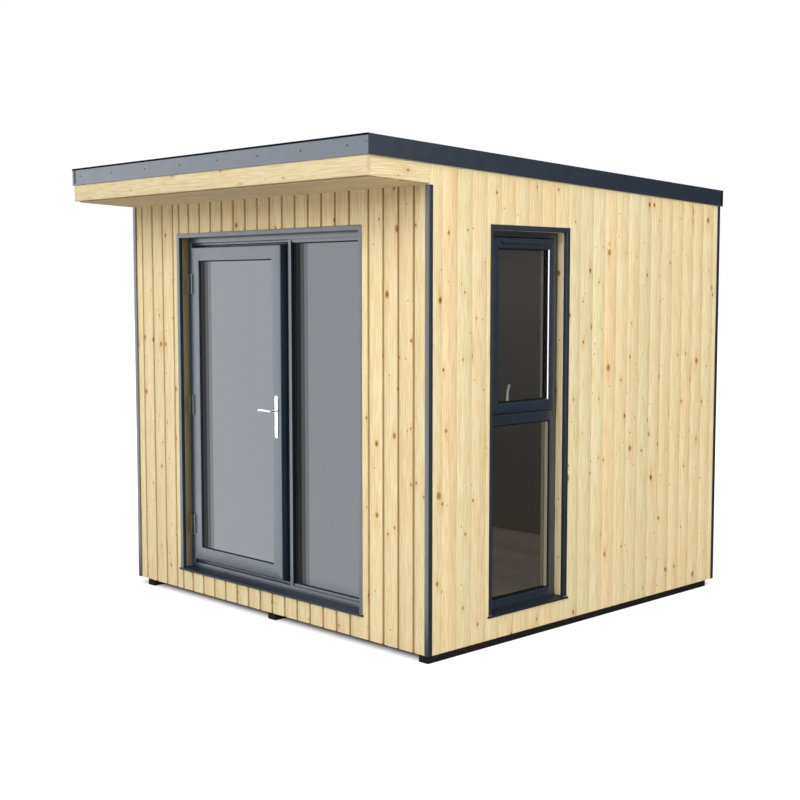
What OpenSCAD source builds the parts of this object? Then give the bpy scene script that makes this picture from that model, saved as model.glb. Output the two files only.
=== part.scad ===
// Garden office pod: a timber room with a glazed door set, a full-height side window
// and a shallow mono-pitch roof that runs out over the door as a canopy.
// X runs to the right along the front, Y to the back, Z up from the ground.

/* [Roof] */
// Width of the roof over its side trims
roof_w = 2540; // [2100:10:3200]
// Depth of the roof from its front trim to its back trim
roof_d = 2900; // [2400:10:3600]
// Height of the roof at its front edge, above the ground
front_h = 2500; // [2400:10:3100]
// How far the roof falls from front to back
roof_fall = 109; // [40:1:200]
// Height of the metal edge trim
trim_h = 95; // [70:1:130]
// Thickness of the folded metal of the edge trim
trim_t = 3; // [1:0.5:5]
// Width of the edge trim's leaf on top of the roof
trim_lip = 40; // [25:1:70]
// Thickness of the roof membrane
membrane_t = 2; // [1:0.5:4]
// How far the roof stands out past the cladding at each side
side_eave = 15; // [10:1:40]
// How far the roof stands out past the cladding at the back
back_eave = 12; // [8:1:40]

/* [Canopy] */
// Depth of the canopy, from the roof's front edge to the front cladding
canopy_d = 402; // [250:1:700]
// Height of the fascia boards that show under the edge trim
fascia_h = 91; // [60:1:140]
// Thickness of the fascia boards
fascia_t = 20; // [15:1:30]
// How far the front fascia sits behind the face of the edge trim
fascia_inset = 6; // [4:1:20]
// Thickness of the soffit boards
soffit_t = 18; // [12:1:25]
// How far the soffit hangs below the fascia boards
soffit_drop = 6; // [0:1:12]

/* [Walls] */
// Thickness of the outer cladding
clad_t = 20; // [14:1:28]
// Thickness of the insulated wall behind the cladding
core_t = 100; // [90:1:150]
// Width of each leaf of the corner trims
corner_leaf = 25; // [15:1:45]
// Thickness of the corner trims and of the trims round the openings
angle_t = 2; // [1:0.5:4]

/* [Base] */
// Height of the ground bearers
bearer_h = 35; // [25:1:100]
// Width of the ground bearers
bearer_w = 65; // [45:1:120]
// How far the left bearer sits in from the left cladding
bearer_left_inset = 106; // [0:1:250]
// How far the bearers stop short of the back cladding
bearer_back_inset = 85; // [0:1:250]
// Thickness of the insulated floor panel
floor_panel_t = 92; // [60:1:150]
// Thickness of the floor boards
floor_board_t = 20; // [12:1:30]

/* [Openings] */
// Height of the clear openings' top edge above the ground
opening_top = 2098; // [1900:1:2150]
// Distance from the left cladding face to the clear door opening
door_margin = 478; // [350:1:600]
// Width of the clear door opening
door_w = 1540; // [1400:1:1700]
// Distance from the front cladding face to the clear window opening
window_margin = 457; // [250:1:900]
// Width of the clear window opening
window_w = 574; // [450:1:900]
// Width of the metal trim's face round each opening
opening_leaf = 25; // [15:1:45]
// Thickness of the timber lining boards in the openings
lining_t = 20; // [12:1:30]
// How far the window and door frames sit behind the cladding face
frame_setback = 63; // [45:1:75]
// How far the sills reach past the clear opening at each end
sill_horn = 32; // [26:1:60]
// How far the sills stand out from the cladding face
sill_nose = 9; // [5:1:14]
// Fall of the sills from the frame to the front edge
sill_fall = 8; // [2:1:15]
// Height of the sills' front lip
sill_lip = 10; // [6:1:16]
// Height of the sills above the floor boards, at the frame
sill_rise = 18; // [12:1:24]
// Gap left where a sloping or folded part is seated on its neighbour
seat_gap = 0.2; // [0.1:0.1:0.5]

/* [Frames] */
// Width of the frame's front face that shows inside the lining
nose_w = 30; // [20:1:45]
// Depth of the step beside a moving leaf, behind the frame's front face
step_back = 18; // [10:1:25]
// Thickness of the stop behind the leaves
stop_t = 15; // [10:1:20]
// Overlap of the stop behind the leaves
stop_lap = 15; // [10:1:20]
// Height of the frames' bottom members above the floor boards
threshold_rise = 45; // [30:1:80]
// Width of the mullion's front face between leaf and fixed pane
mullion_w = 26; // [20:1:60]
// Width of the glazing bead round the fixed panes
bead_w = 18; // [12:1:25]
// How far the glass sits behind the face that holds it
glass_recess = 10; // [6:1:14]
// Thickness of one sheet of glass
pane_t = 4; // [3:1:6]
// Thickness of the whole double glazed unit
unit_t = 24; // [16:1:28]
// How far the glass reaches into its groove
glass_bite = 10; // [6:1:14]

/* [Door leaf] */
// Width of the door leaf
leaf_w = 823; // [680:1:950]
// Width of the leaf's frame members
leaf_stile = 78; // [65:1:110]
// How far the leaf stands in front of the frame's face
leaf_proud = 25; // [20:1:28]
// Gap from the frame's front face to the leaf at the hinges, head and foot
leaf_gap = 24; // [18:1:32]
// Gap from the leaf to the mullion's front face
lock_gap = 35; // [28:1:45]
// Clearance between the leaf and the frame's steps
swing_gap = 10; // [8:1:14]
// Clearance between the leaf's back and its stop
seal_gap = 5; // [5:1:8]

/* [Door hardware] */
// Height of each hinge
hinge_h = 115; // [80:1:150]
// Height of the lowest hinge's middle above the ground
hinge_low = 424; // [350:1:600]
// Distance from one hinge to the next
hinge_pitch = 704; // [550:1:720]
// Number of hinges
hinge_count = 3; // [2:1:3]
// Radius of the hinge knuckles
knuckle_r = 7.5; // [6:0.5:10]
// Gap from the hinge knuckles to the leaf's face, and from their plate on the frame to the leaf
hinge_gap = 5; // [4:0.5:7]
// Width of a hinge's plate on the leaf
hinge_plate_w = 22; // [16:1:30]
// Thickness of a hinge's plate on the leaf
hinge_plate_t = 7; // [5:0.5:9]
// Distance from the clear opening's edge to a hinge's plate on the frame
hinge_edge = 8; // [4:1:12]
// Radius of the hinge pins
pin_r = 3; // [2:0.5:4]
// Height of the handle's spindle above the ground
spindle_z = 1145; // [1000:1:1250]
// Height of the handle's backplates
plate_h = 236; // [180:1:280]
// Width of the handle's backplates
plate_w = 30; // [24:1:40]
// Thickness of the handle's backplates
plate_t = 8; // [6:1:12]
// Gap from the leaf's faces to the foot of each lever
lever_foot = 0.5; // [0.3:0.1:1]
// Distance from the spindle up to the top of the backplate
plate_above = 85; // [60:1:120]
// Length of the lever from the spindle to its tip
lever_l = 108; // [80:1:130]
// Distance from the leaf's face to the middle of the lever
lever_reach = 48; // [40:1:65]
// Radius of the lever's grip
lever_r = 8; // [6:0.5:10]
// Radius of the spindle
spindle_r = 4; // [3:0.5:6]
// Radial clearance at pins, spindle and lever neck
pin_clear = 0.3; // [0.2:0.1:0.6]

/* [Window] */
// Height of the transom's top edge above the ground
transom_top = 1167; // [900:1:1400]
// Height of the transom's front face
transom_h = 38; // [30:1:60]
// Width of the opening casement's frame members
casement_stile = 53; // [45:1:80]
// How far the casement stands in front of the window frame
casement_proud = 18; // [10:1:22]
// Gap between the casement and the window frame
casement_gap = 5; // [3:1:8]
// Length of the trickle vent
vent_l = 366; // [250:1:400]
// Height of the trickle vent
vent_h = 18; // [14:1:26]
// How far the trickle vent stands out from the casement
vent_t = 12; // [8:1:18]
// Distance from the casement's top edge to the trickle vent
vent_inset = 12; // [6:1:18]
// Height of the window handle's grip above its neck
grip_h = 107; // [80:1:140]
// Distance from the casement's inside to the middle of the grip
grip_reach = 52; // [40:1:65]
// Radius of the window handle's grip
grip_r = 7; // [5:0.5:9]
// Thickness and half width of the window handle's base
grip_base = 12; // [9:1:15]

/* [Hidden] */
$fn = 48;
pine = "#e6d2a5";
anthracite = "#3a4149";
near_black = "#1f1d1d";
lining_white = "#d9d8d4";
steel = "#b9bdc1";
glass = "#6f767c";

// Driving planes
roof_x = roof_w / 2;
roof_y = roof_d / 2;
face_x = roof_x - side_eave;
face_front = -roof_y + canopy_d;
face_back = roof_y - back_eave;
clad_in_x = face_x - clad_t;
core_in_x = clad_in_x - core_t;
core_front = face_front + clad_t;
core_front_in = core_front + core_t;
core_back = face_back - clad_t;
core_back_in = core_back - core_t;
bearer_x0 = -face_x + bearer_left_inset;
bearer_x2 = face_x + angle_t - bearer_w;
panel_top = bearer_h + floor_panel_t;
floor_top = panel_top + floor_board_t;
eaves_drop = trim_h;
wall_drop = eaves_drop + seat_gap;
fascia_y = -roof_y + fascia_inset;
fascia_back = fascia_y + fascia_t;
fascia_foot = eaves_drop + fascia_h;
soffit_foot = fascia_foot + soffit_drop;
soffit_top = soffit_foot - soffit_t;
cover_drop = trim_t + membrane_t;

// Clear openings and the frames behind them
door_x0 = -face_x + door_margin;
door_x1 = door_x0 + door_w;
window_y0 = face_front + window_margin;
window_y1 = window_y0 + window_w;
inner_face = clad_t + core_t;
step_face = frame_setback + step_back;
stop_face = inner_face - stop_t;
nose_x0 = door_x0 + nose_w;
nose_x1 = door_x1 - nose_w;
nose_top = opening_top - nose_w;
frame_top = opening_top + lining_t;
threshold_top = floor_top + threshold_rise;
sill_back_z = floor_top + sill_rise;
leaf_x0 = nose_x0 + leaf_gap;
leaf_x1 = leaf_x0 + leaf_w;
leaf_z0 = threshold_top + leaf_gap;
leaf_z1 = nose_top - leaf_gap;
mullion_x0 = leaf_x1 + lock_gap;
mullion_x1 = mullion_x0 + mullion_w;
leaf_front = frame_setback - leaf_proud;
leaf_back = stop_face - seal_gap;
hinge_x = leaf_x0 - hinge_gap / 2;
hinge_d = leaf_front - knuckle_r - hinge_gap;
spindle_x = leaf_x1 - leaf_stile / 2;
neck_r = lever_r + 1;
case_y0 = window_y0 + nose_w + casement_gap;
case_y1 = window_y1 - nose_w - casement_gap;
case_z0 = transom_top + casement_gap;
case_z1 = nose_top - casement_gap;
case_front = frame_setback - casement_proud;
case_back = stop_face;
window_mid = (window_y0 + window_y1) / 2;
sill_foot = sill_z(0) - sill_lip;

// Gap round the glass in its groove, and how far a cut runs past what it cuts
edge_clear = 1;
past = 1;

// Height of one half of a hinge, with a gap between the halves
half_h = (hinge_h - past) / 2;

function roof_z(y) = front_h - roof_fall * (y + roof_y) / roof_d;

function sill_z(d) = sill_back_z - sill_fall * (frame_setback - d) / (frame_setback + sill_nose);

// A box from one corner to the opposite one
module block(low, high) {
    translate(low) cube(high - low);
}

// A side outline in Y and Z, carried along X
module along_x(x0, x1, outline) {
    translate([x0, 0, 0])
        rotate([90, 0, 90])
            linear_extrude(x1 - x0)
                polygon(outline);
}

// A band that follows the roof, between two depths under its top
module roof_band(x0, x1, y0, y1, upper, lower) {
    along_x(x0, x1, [
        [y0, roof_z(y0) - lower], [y1, roof_z(y1) - lower],
        [y1, roof_z(y1) - upper], [y0, roof_z(y0) - upper]
    ]);
}

// A wall that stands on z0 and runs up to a depth under the roof's top
module wall_slab(x0, x1, y0, y1, z0, upper) {
    along_x(x0, x1, [
        [y0, z0], [y1, z0], [y1, roof_z(y1) - upper], [y0, roof_z(y0) - upper]
    ]);
}

// Places for parts drawn in a wall's own terms: along the wall, depth behind
// the cladding face, and height
module on_front() {
    translate([0, face_front, 0]) children();
}

module on_right() {
    translate([face_x, 0, 0]) rotate([0, 0, 90]) children();
}

// Ground bearers, floor and walls
module bearer(x0) {
    color(near_black)
        block([x0, face_front - angle_t, 0], [x0 + bearer_w, face_back - bearer_back_inset, bearer_h]);
}

module bearer_left() {
    bearer(bearer_x0);
}

module bearer_middle() {
    bearer((bearer_x0 + bearer_x2) / 2);
}

module bearer_right() {
    bearer(bearer_x2);
}

module floor_panel() {
    color(lining_white)
        block([-clad_in_x, core_front, bearer_h], [clad_in_x, core_back, panel_top]);
}

module floor_boards() {
    color(pine)
        block([-core_in_x, core_front_in, panel_top], [core_in_x, core_back_in, floor_top]);
}

module left_wall() {
    color(lining_white)
        wall_slab(-clad_in_x, -core_in_x, core_front_in, core_back_in, panel_top, wall_drop);
}

module back_wall() {
    color(lining_white)
        wall_slab(-clad_in_x, clad_in_x, core_back_in, core_back, panel_top, wall_drop);
}

module front_wall_left() {
    color(lining_white)
        wall_slab(-clad_in_x, door_x0 - lining_t, core_front, core_front_in, panel_top, wall_drop);
}

module front_wall_right() {
    color(lining_white)
        wall_slab(door_x1 + lining_t, clad_in_x, core_front, core_front_in, panel_top, wall_drop);
}

module front_wall_over_door() {
    color(lining_white)
        wall_slab(door_x0 - lining_t, door_x1 + lining_t, core_front, core_front_in,
            opening_top + lining_t, wall_drop);
}

module right_wall_front() {
    color(lining_white)
        wall_slab(core_in_x, clad_in_x, core_front_in, window_y0 - lining_t, panel_top, wall_drop);
}

module right_wall_back() {
    color(lining_white)
        wall_slab(core_in_x, clad_in_x, window_y1 + lining_t, core_back_in, panel_top, wall_drop);
}

module right_wall_over_window() {
    color(lining_white)
        wall_slab(core_in_x, clad_in_x, window_y0 - lining_t, window_y1 + lining_t,
            opening_top + lining_t, wall_drop);
}

// Outer cladding, each wall in one skin with its opening cut through
module opening_cut(u0, u1) {
    edge = angle_t + seat_gap;
    block([u0 - edge, -past, sill_foot], [u1 + edge, clad_t + past, opening_top + edge]);
}

module front_cladding() {
    color(pine)
        difference() {
            wall_slab(-clad_in_x, clad_in_x, face_front, core_front, bearer_h, soffit_foot);
            on_front() opening_cut(door_x0, door_x1);
        }
}

module side_cladding(x0, x1) {
    wall_slab(x0, x1, face_front, face_back, bearer_h, wall_drop);
}

module left_cladding() {
    color(pine) side_cladding(-face_x, -clad_in_x);
}

module right_cladding() {
    color(pine)
        difference() {
            side_cladding(clad_in_x, face_x);
            on_right() opening_cut(window_y0, window_y1);
        }
}

module back_cladding() {
    color(pine)
        wall_slab(-clad_in_x, clad_in_x, core_back, face_back, bearer_h, wall_drop);
}

// Metal angles on the four corners
module corner_angle(upper) {
    difference() {
        block([-corner_leaf, -angle_t, bearer_h], [angle_t, corner_leaf - angle_t, upper]);
        block([-corner_leaf - past, 0, bearer_h - past], [0, corner_leaf, upper + past]);
    }
}

module corner_trims() {
    front_top = roof_z(face_front) - soffit_foot;
    back_top = roof_z(face_back + angle_t) - wall_drop;
    color(anthracite)
        for (side = [0, 1]) mirror([side, 0, 0]) {
            translate([face_x, face_front, 0]) corner_angle(front_top);
            translate([face_x, face_back, 0]) mirror([0, 1, 0]) corner_angle(back_top);
        }
}

// Roof panel: the deck over the whole roof, and the canopy's box under it
module roof_panel() {
    color(lining_white) {
        roof_band(-roof_x + trim_t, roof_x - trim_t, -roof_y + trim_t, roof_y - trim_t,
            cover_drop, eaves_drop);
        roof_band(-clad_in_x, clad_in_x, fascia_back, core_front, eaves_drop - past, soffit_top);
    }
}

module roof_membrane() {
    color(near_black)
        roof_band(-roof_x + trim_t, roof_x - trim_t, -roof_y + trim_t, roof_y - trim_t,
            trim_t + seat_gap, cover_drop);
}

module roof_trim_front() {
    color(anthracite) {
        roof_band(-roof_x, roof_x, -roof_y, -roof_y + trim_t, 0, trim_h);
        roof_band(-roof_x, roof_x, -roof_y, -roof_y + trim_lip, 0, trim_t);
    }
}

module roof_trim_back() {
    color(anthracite) {
        roof_band(-roof_x, roof_x, roof_y - trim_t, roof_y, 0, trim_h);
        roof_band(-roof_x, roof_x, roof_y - trim_lip, roof_y, 0, trim_t);
    }
}

module roof_trim_sides() {
    color(anthracite)
        for (side = [0, 1]) mirror([side, 0, 0])
            difference() {
                union() {
                    roof_band(roof_x - trim_t, roof_x, -roof_y + past, roof_y - past, 0, trim_h);
                    roof_band(roof_x - trim_lip, roof_x, -roof_y + past, roof_y - past, 0, trim_t);
                }
                roof_trim_front();
                roof_trim_back();
            }
}

module soffit() {
    color(pine)
        roof_band(-clad_in_x, clad_in_x, fascia_back, core_front, soffit_top, soffit_foot);
}

module fascia_front() {
    color(pine)
        roof_band(-face_x, face_x, fascia_y, fascia_back, eaves_drop, fascia_foot);
}

module fascia_sides() {
    color(pine)
        for (side = [0, 1]) mirror([side, 0, 0])
            roof_band(clad_in_x, face_x, fascia_back, face_front, eaves_drop, fascia_foot);
}

// Trim, lining and sill of an opening, in the wall's own terms
module opening_trim(u0, u1) {
    foot = sill_z(clad_t);
    color(anthracite)
        difference() {
            union() {
                block([u0 - opening_leaf, -angle_t, foot],
                    [u1 + opening_leaf, 0, opening_top + opening_leaf]);
                block([u0 - angle_t, -angle_t, foot], [u1 + angle_t, clad_t, opening_top + angle_t]);
            }
            block([u0, -angle_t - past, foot - past], [u1, clad_t + past, opening_top]);
        }
}

module opening_lining(u0, u1) {
    color(pine)
        difference() {
            block([u0 - lining_t, clad_t, sill_back_z],
                [u1 + lining_t, frame_setback, opening_top + lining_t]);
            block([u0, clad_t - past, sill_back_z - past], [u1, frame_setback + past, opening_top]);
        }
}

module sill_slice(u0, u1, d0, d1) {
    along_x(u0, u1, [[d0, sill_foot], [d1, sill_foot], [d1, sill_z(d1)], [d0, sill_z(d0)]]);
}

module opening_sill(u0, u1) {
    color(anthracite) {
        sill_slice(u0 - sill_horn, u1 + sill_horn, -sill_nose, 0);
        sill_slice(u0 - angle_t, u1 + angle_t, -past, clad_t + past);
        sill_slice(u0 - lining_t, u1 + lining_t, clad_t, frame_setback);
    }
}

module door_trim() {
    on_front() opening_trim(door_x0, door_x1);
}

module door_lining() {
    on_front() opening_lining(door_x0, door_x1);
}

module door_sill() {
    on_front() opening_sill(door_x0, door_x1);
}

module window_trim() {
    on_right() opening_trim(window_y0, window_y1);
}

module window_lining() {
    on_right() opening_lining(window_y0, window_y1);
}

module window_sill() {
    on_right() opening_sill(window_y0, window_y1);
}

// Members of the door frame, in the front wall's terms. Beside the leaf each has a
// nose, a step behind it and a stop that the leaf closes against.
module jamb_left_bar() {
    translate([0, 0, panel_top])
        linear_extrude(frame_top - panel_top)
            polygon([
                [door_x0 - lining_t, frame_setback], [nose_x0, frame_setback],
                [nose_x0, step_face], [leaf_x0 - swing_gap, step_face],
                [leaf_x0 - swing_gap, stop_face], [leaf_x0 + stop_lap, stop_face],
                [leaf_x0 + stop_lap, inner_face], [door_x0 - lining_t, inner_face]
            ]);
}

module mullion_bar() {
    translate([0, 0, threshold_top])
        linear_extrude(nose_top - threshold_top)
            polygon([
                [mullion_x1, frame_setback], [mullion_x0, frame_setback],
                [mullion_x0, step_face], [leaf_x1 + swing_gap, step_face],
                [leaf_x1 + swing_gap, stop_face], [leaf_x1 - stop_lap, stop_face],
                [leaf_x1 - stop_lap, inner_face], [mullion_x1, inner_face]
            ]);
}

// A level member whose nose lies between z0 and z1, with its step and stop towards
// the leaf's edge at z_leaf
module level_bar(z0, z1, z_leaf, way) {
    step_edge = z_leaf - way * swing_gap;
    stop_edge = z_leaf + way * stop_lap;
    difference() {
        union() {
            block([nose_x0, frame_setback, z0], [nose_x1, inner_face, z1]);
            block([nose_x0, step_face, min(z0, step_edge)], [mullion_x0, inner_face, max(z1, step_edge)]);
            block([nose_x0, stop_face, min(z0, stop_edge)], [mullion_x0, inner_face, max(z1, stop_edge)]);
        }
        jamb_left_bar();
        mullion_bar();
    }
}

module door_jamb_left() {
    color(anthracite) on_front() jamb_left_bar();
}

module door_jamb_right() {
    color(anthracite)
        on_front()
            block([nose_x1, frame_setback, panel_top], [door_x1 + lining_t, inner_face, frame_top]);
}

module door_head() {
    color(anthracite) on_front() level_bar(nose_top, frame_top, leaf_z1, -1);
}

module door_threshold() {
    color(anthracite) on_front() level_bar(panel_top, threshold_top, leaf_z0, 1);
}

module door_mullion() {
    color(anthracite) on_front() mullion_bar();
}

// A ring of frame members with a groove for the glass round its inside
module glazed_ring(u0, u1, z0, z1, front, back, member) {
    bite = member - glass_bite;
    difference() {
        block([u0, front, z0], [u1, back, z1]);
        block([u0 + member, front - past, z0 + member], [u1 - member, back + past, z1 - member]);
        block([u0 + bite, front + glass_recess, z0 + bite],
            [u1 - bite, front + glass_recess + unit_t, z1 - bite]);
    }
}

// The two sheets of a double glazed unit, in that groove
module glass_unit(u0, u1, z0, z1, front, member) {
    bite = member - glass_bite + edge_clear;
    color(glass, 0.5)
        for (d = [front + glass_recess, front + glass_recess + unit_t - pane_t])
            block([u0 + bite, d, z0 + bite], [u1 - bite, d + pane_t, z1 - bite]);
}

module sidelight_bead() {
    color(anthracite)
        on_front()
            glazed_ring(mullion_x1, nose_x1, threshold_top, nose_top, frame_setback, inner_face, bead_w);
}

module sidelight_glass() {
    on_front() glass_unit(mullion_x1, nose_x1, threshold_top, nose_top, frame_setback, bead_w);
}

// Door leaf with its glass
module door_leaf() {
    color(anthracite)
        on_front()
            difference() {
                glazed_ring(leaf_x0, leaf_x1, leaf_z0, leaf_z1, leaf_front, leaf_back, leaf_stile);
                translate([spindle_x, leaf_front - past, spindle_z])
                    rotate([-90, 0, 0])
                        cylinder(r = spindle_r + pin_clear, h = leaf_back - leaf_front + 2 * past);
            }
}

module door_glass() {
    on_front() glass_unit(leaf_x0, leaf_x1, leaf_z0, leaf_z1, leaf_front, leaf_stile);
}

// Hinges: the lower half of each stays on the frame and carries the pin, the upper
// half turns with the leaf
module each_hinge() {
    for (i = [0 : hinge_count - 1])
        translate([0, 0, hinge_low + i * hinge_pitch - hinge_h / 2]) children();
}

module hinge_frame_halves() {
    color(steel)
        on_front() each_hinge() {
            translate([hinge_x, hinge_d, 0]) {
                cylinder(r = knuckle_r, h = half_h);
                cylinder(r = pin_r, h = hinge_h - 2 * past);
            }
            block([door_x0 + hinge_edge, hinge_d, 0], [leaf_x0 - hinge_gap, frame_setback, half_h]);
        }
}

module hinge_leaf_halves() {
    color(steel)
        on_front() each_hinge()
            translate([0, 0, hinge_h - half_h])
                difference() {
                    union() {
                        translate([hinge_x, hinge_d, 0]) cylinder(r = knuckle_r, h = half_h);
                        block([hinge_x, leaf_front - hinge_plate_t, 0],
                            [leaf_x0 + hinge_plate_w, leaf_front, half_h]);
                    }
                    translate([hinge_x, hinge_d, -past]) cylinder(r = pin_r + pin_clear, h = half_h);
                }
}

// A plate with round ends, from z0 to z1, with its face across Y
module round_ended(x, z0, z1, width, d0, d1) {
    block([x - width / 2, d0, z0 + width / 2], [x + width / 2, d1, z1 - width / 2]);
    for (z = [z0 + width / 2, z1 - width / 2])
        translate([x, d0, z]) rotate([-90, 0, 0]) cylinder(d = width, h = d1 - d0);
}

module backplate(d0, d1) {
    top = spindle_z + plate_above;
    difference() {
        round_ended(spindle_x, top - plate_h, top, plate_w, d0, d1);
        translate([spindle_x, d0 - past, spindle_z])
            rotate([-90, 0, 0]) cylinder(r = neck_r + pin_clear, h = d1 - d0 + 2 * past);
    }
}

module handle_plates() {
    color(steel)
        on_front() {
            backplate(leaf_front - plate_t, leaf_front);
            backplate(leaf_back, leaf_back + plate_t);
        }
}

// One lever: a neck from its foot out to the grip, and the grip towards the hinges
module lever(foot, grip_d) {
    translate([spindle_x, min(foot, grip_d), spindle_z])
        rotate([-90, 0, 0]) cylinder(r = neck_r, h = abs(grip_d - foot));
    translate([spindle_x, grip_d, spindle_z]) {
        sphere(r = neck_r);
        rotate([0, -90, 0]) cylinder(r = lever_r, h = lever_l - lever_r);
        translate([-lever_l + lever_r, 0, 0]) sphere(r = lever_r);
    }
}

module lever_handle() {
    color(steel)
        on_front() {
            lever(leaf_front - lever_foot, leaf_front - lever_reach);
            lever(leaf_back + lever_foot, leaf_back + lever_reach);
            translate([spindle_x, leaf_front - lever_reach, spindle_z])
                rotate([-90, 0, 0]) cylinder(r = spindle_r, h = leaf_back - leaf_front + 2 * lever_reach);
        }
}

// Window: a frame with a transom, an opening casement over it and a fixed pane under it
module window_frame() {
    u0 = window_y0 + nose_w;
    u1 = window_y1 - nose_w;
    lower_top = transom_top - transom_h;
    lap = casement_gap + stop_lap;
    bite = bead_w - glass_bite;
    groove = frame_setback + glass_recess;
    color(anthracite)
        on_right()
            difference() {
                block([window_y0 - lining_t, frame_setback, panel_top],
                    [window_y1 + lining_t, inner_face, frame_top]);
                block([u0, frame_setback - past, transom_top], [u1, stop_face, nose_top]);
                block([u0 + lap, frame_setback - past, transom_top + lap],
                    [u1 - lap, inner_face + past, nose_top - lap]);
                block([u0 + bead_w, frame_setback - past, threshold_top + bead_w],
                    [u1 - bead_w, inner_face + past, lower_top - bead_w]);
                block([u0 + bite, groove, threshold_top + bite],
                    [u1 - bite, groove + unit_t, lower_top - bite]);
            }
}

module casement() {
    color(anthracite)
        on_right() glazed_ring(case_y0, case_y1, case_z0, case_z1, case_front, case_back, casement_stile);
}

module casement_glass() {
    on_right() glass_unit(case_y0, case_y1, case_z0, case_z1, case_front, casement_stile);
}

module lower_glass() {
    on_right()
        glass_unit(window_y0 + nose_w, window_y1 - nose_w, threshold_top, transom_top - transom_h,
            frame_setback, bead_w);
}

module trickle_vent() {
    z = case_z1 - vent_inset - vent_h / 2;
    color(anthracite)
        on_right()
            translate([window_mid - vent_l / 2, 0, z])
                rotate([0, 90, 0])
                    round_ended(0, 0, vent_l, vent_h, case_front - vent_t, case_front);
}

// Window handle on the casement's foot rail, inside
module window_handle() {
    z0 = case_z0 + stop_lap + 2 * past;
    z1 = case_z0 + casement_stile - 3 * past;
    z = (z0 + z1) / 2;
    grip_d = case_back + grip_reach;
    color(steel)
        on_right() {
            block([window_mid - grip_base, case_back, z0],
                [window_mid + grip_base, case_back + grip_base, z1]);
            translate([window_mid, case_back + past, z])
                rotate([-90, 0, 0]) cylinder(r = grip_r, h = grip_reach - past);
            translate([window_mid, grip_d, z]) {
                sphere(r = grip_r);
                cylinder(r = grip_r, h = grip_h);
                translate([0, 0, grip_h]) sphere(r = grip_r);
            }
        }
}

bearer_left();
bearer_middle();
bearer_right();
floor_panel();
floor_boards();
left_wall();
back_wall();
front_wall_left();
front_wall_right();
front_wall_over_door();
right_wall_front();
right_wall_back();
right_wall_over_window();
front_cladding();
left_cladding();
right_cladding();
back_cladding();
corner_trims();
roof_panel();
roof_membrane();
roof_trim_front();
roof_trim_back();
roof_trim_sides();
soffit();
fascia_front();
fascia_sides();
door_trim();
door_lining();
door_sill();
door_jamb_left();
door_jamb_right();
door_head();
door_threshold();
door_mullion();
sidelight_bead();
sidelight_glass();
hinge_frame_halves();
door_leaf();
door_glass();
hinge_leaf_halves();
handle_plates();
lever_handle();
window_trim();
window_lining();
window_sill();
window_frame();
casement();
casement_glass();
lower_glass();
trickle_vent();
window_handle();
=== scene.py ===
"""Garden office pod: boards, profiles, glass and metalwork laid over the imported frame.

Metres throughout. X runs right along the front wall, Y to the back, Z up from the ground.
A wall's own terms are u along the wall, d behind the cladding face, and z.
"""
import math

import bmesh
import bpy
import numpy as np
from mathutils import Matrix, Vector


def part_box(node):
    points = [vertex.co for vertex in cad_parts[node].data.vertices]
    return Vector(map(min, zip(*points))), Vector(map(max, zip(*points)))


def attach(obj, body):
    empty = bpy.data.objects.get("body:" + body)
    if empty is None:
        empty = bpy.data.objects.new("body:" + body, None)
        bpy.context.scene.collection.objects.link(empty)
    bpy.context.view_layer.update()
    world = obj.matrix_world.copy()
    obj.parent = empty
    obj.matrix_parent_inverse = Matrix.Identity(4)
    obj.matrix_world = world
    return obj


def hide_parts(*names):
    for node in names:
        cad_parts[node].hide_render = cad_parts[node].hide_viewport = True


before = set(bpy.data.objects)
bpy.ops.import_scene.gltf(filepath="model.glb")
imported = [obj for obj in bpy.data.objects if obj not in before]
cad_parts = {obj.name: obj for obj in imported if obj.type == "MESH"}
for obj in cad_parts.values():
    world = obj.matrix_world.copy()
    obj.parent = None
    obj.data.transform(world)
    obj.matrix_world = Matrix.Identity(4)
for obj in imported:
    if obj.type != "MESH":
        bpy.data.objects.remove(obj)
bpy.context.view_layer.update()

# ---------------------------------------------------------------- sizes of sections, which no box gives
TRIM_H = 0.095           # roof trim, from its top to its hem
ANGLE_T = 0.002          # sheet of the corner angles and of the folded trims
TRIM_LEAF = 0.025        # width of their leaves
LINING_T = 0.020         # timber lining of a reveal
NOSE = 0.030             # width of fixed frame that shows past the lining
STILE = 0.078            # members of the door leaf
CASE_STILE = 0.053       # members of the casement
BEAD = 0.018             # bead round a fixed pane
GLASS_RECESS = 0.010     # pane behind the face of its member
PANE_T = 0.004           # one pane of a glass unit
UNIT_T = 0.024           # the whole unit
BOARD = 0.106            # cladding board with its groove
HAIR = 0.0002            # gap between pieces that look joined

# ---------------------------------------------------------------- sizes read from the frame
FACE_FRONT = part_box("front_cladding")[0].y
FACE_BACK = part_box("back_cladding")[1].y
FACE_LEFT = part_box("left_cladding")[0].x
FACE_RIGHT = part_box("right_cladding")[1].x
CLAD_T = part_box("front_cladding")[1].y - FACE_FRONT
CLAD_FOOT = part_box("front_cladding")[0].z
ROOF_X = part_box("roof_trim_front")[1].x
ROOF_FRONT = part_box("roof_trim_front")[0].y
ROOF_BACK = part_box("roof_trim_back")[1].y
ROOF_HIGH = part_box("roof_trim_front")[1].z
TRIM_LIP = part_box("roof_trim_front")[1].y - ROOF_FRONT
ROOF_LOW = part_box("roof_trim_back")[0].z + TRIM_H
ROOF_SLOPE = (ROOF_LOW - ROOF_HIGH) / (ROOF_BACK - ROOF_FRONT)

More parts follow.
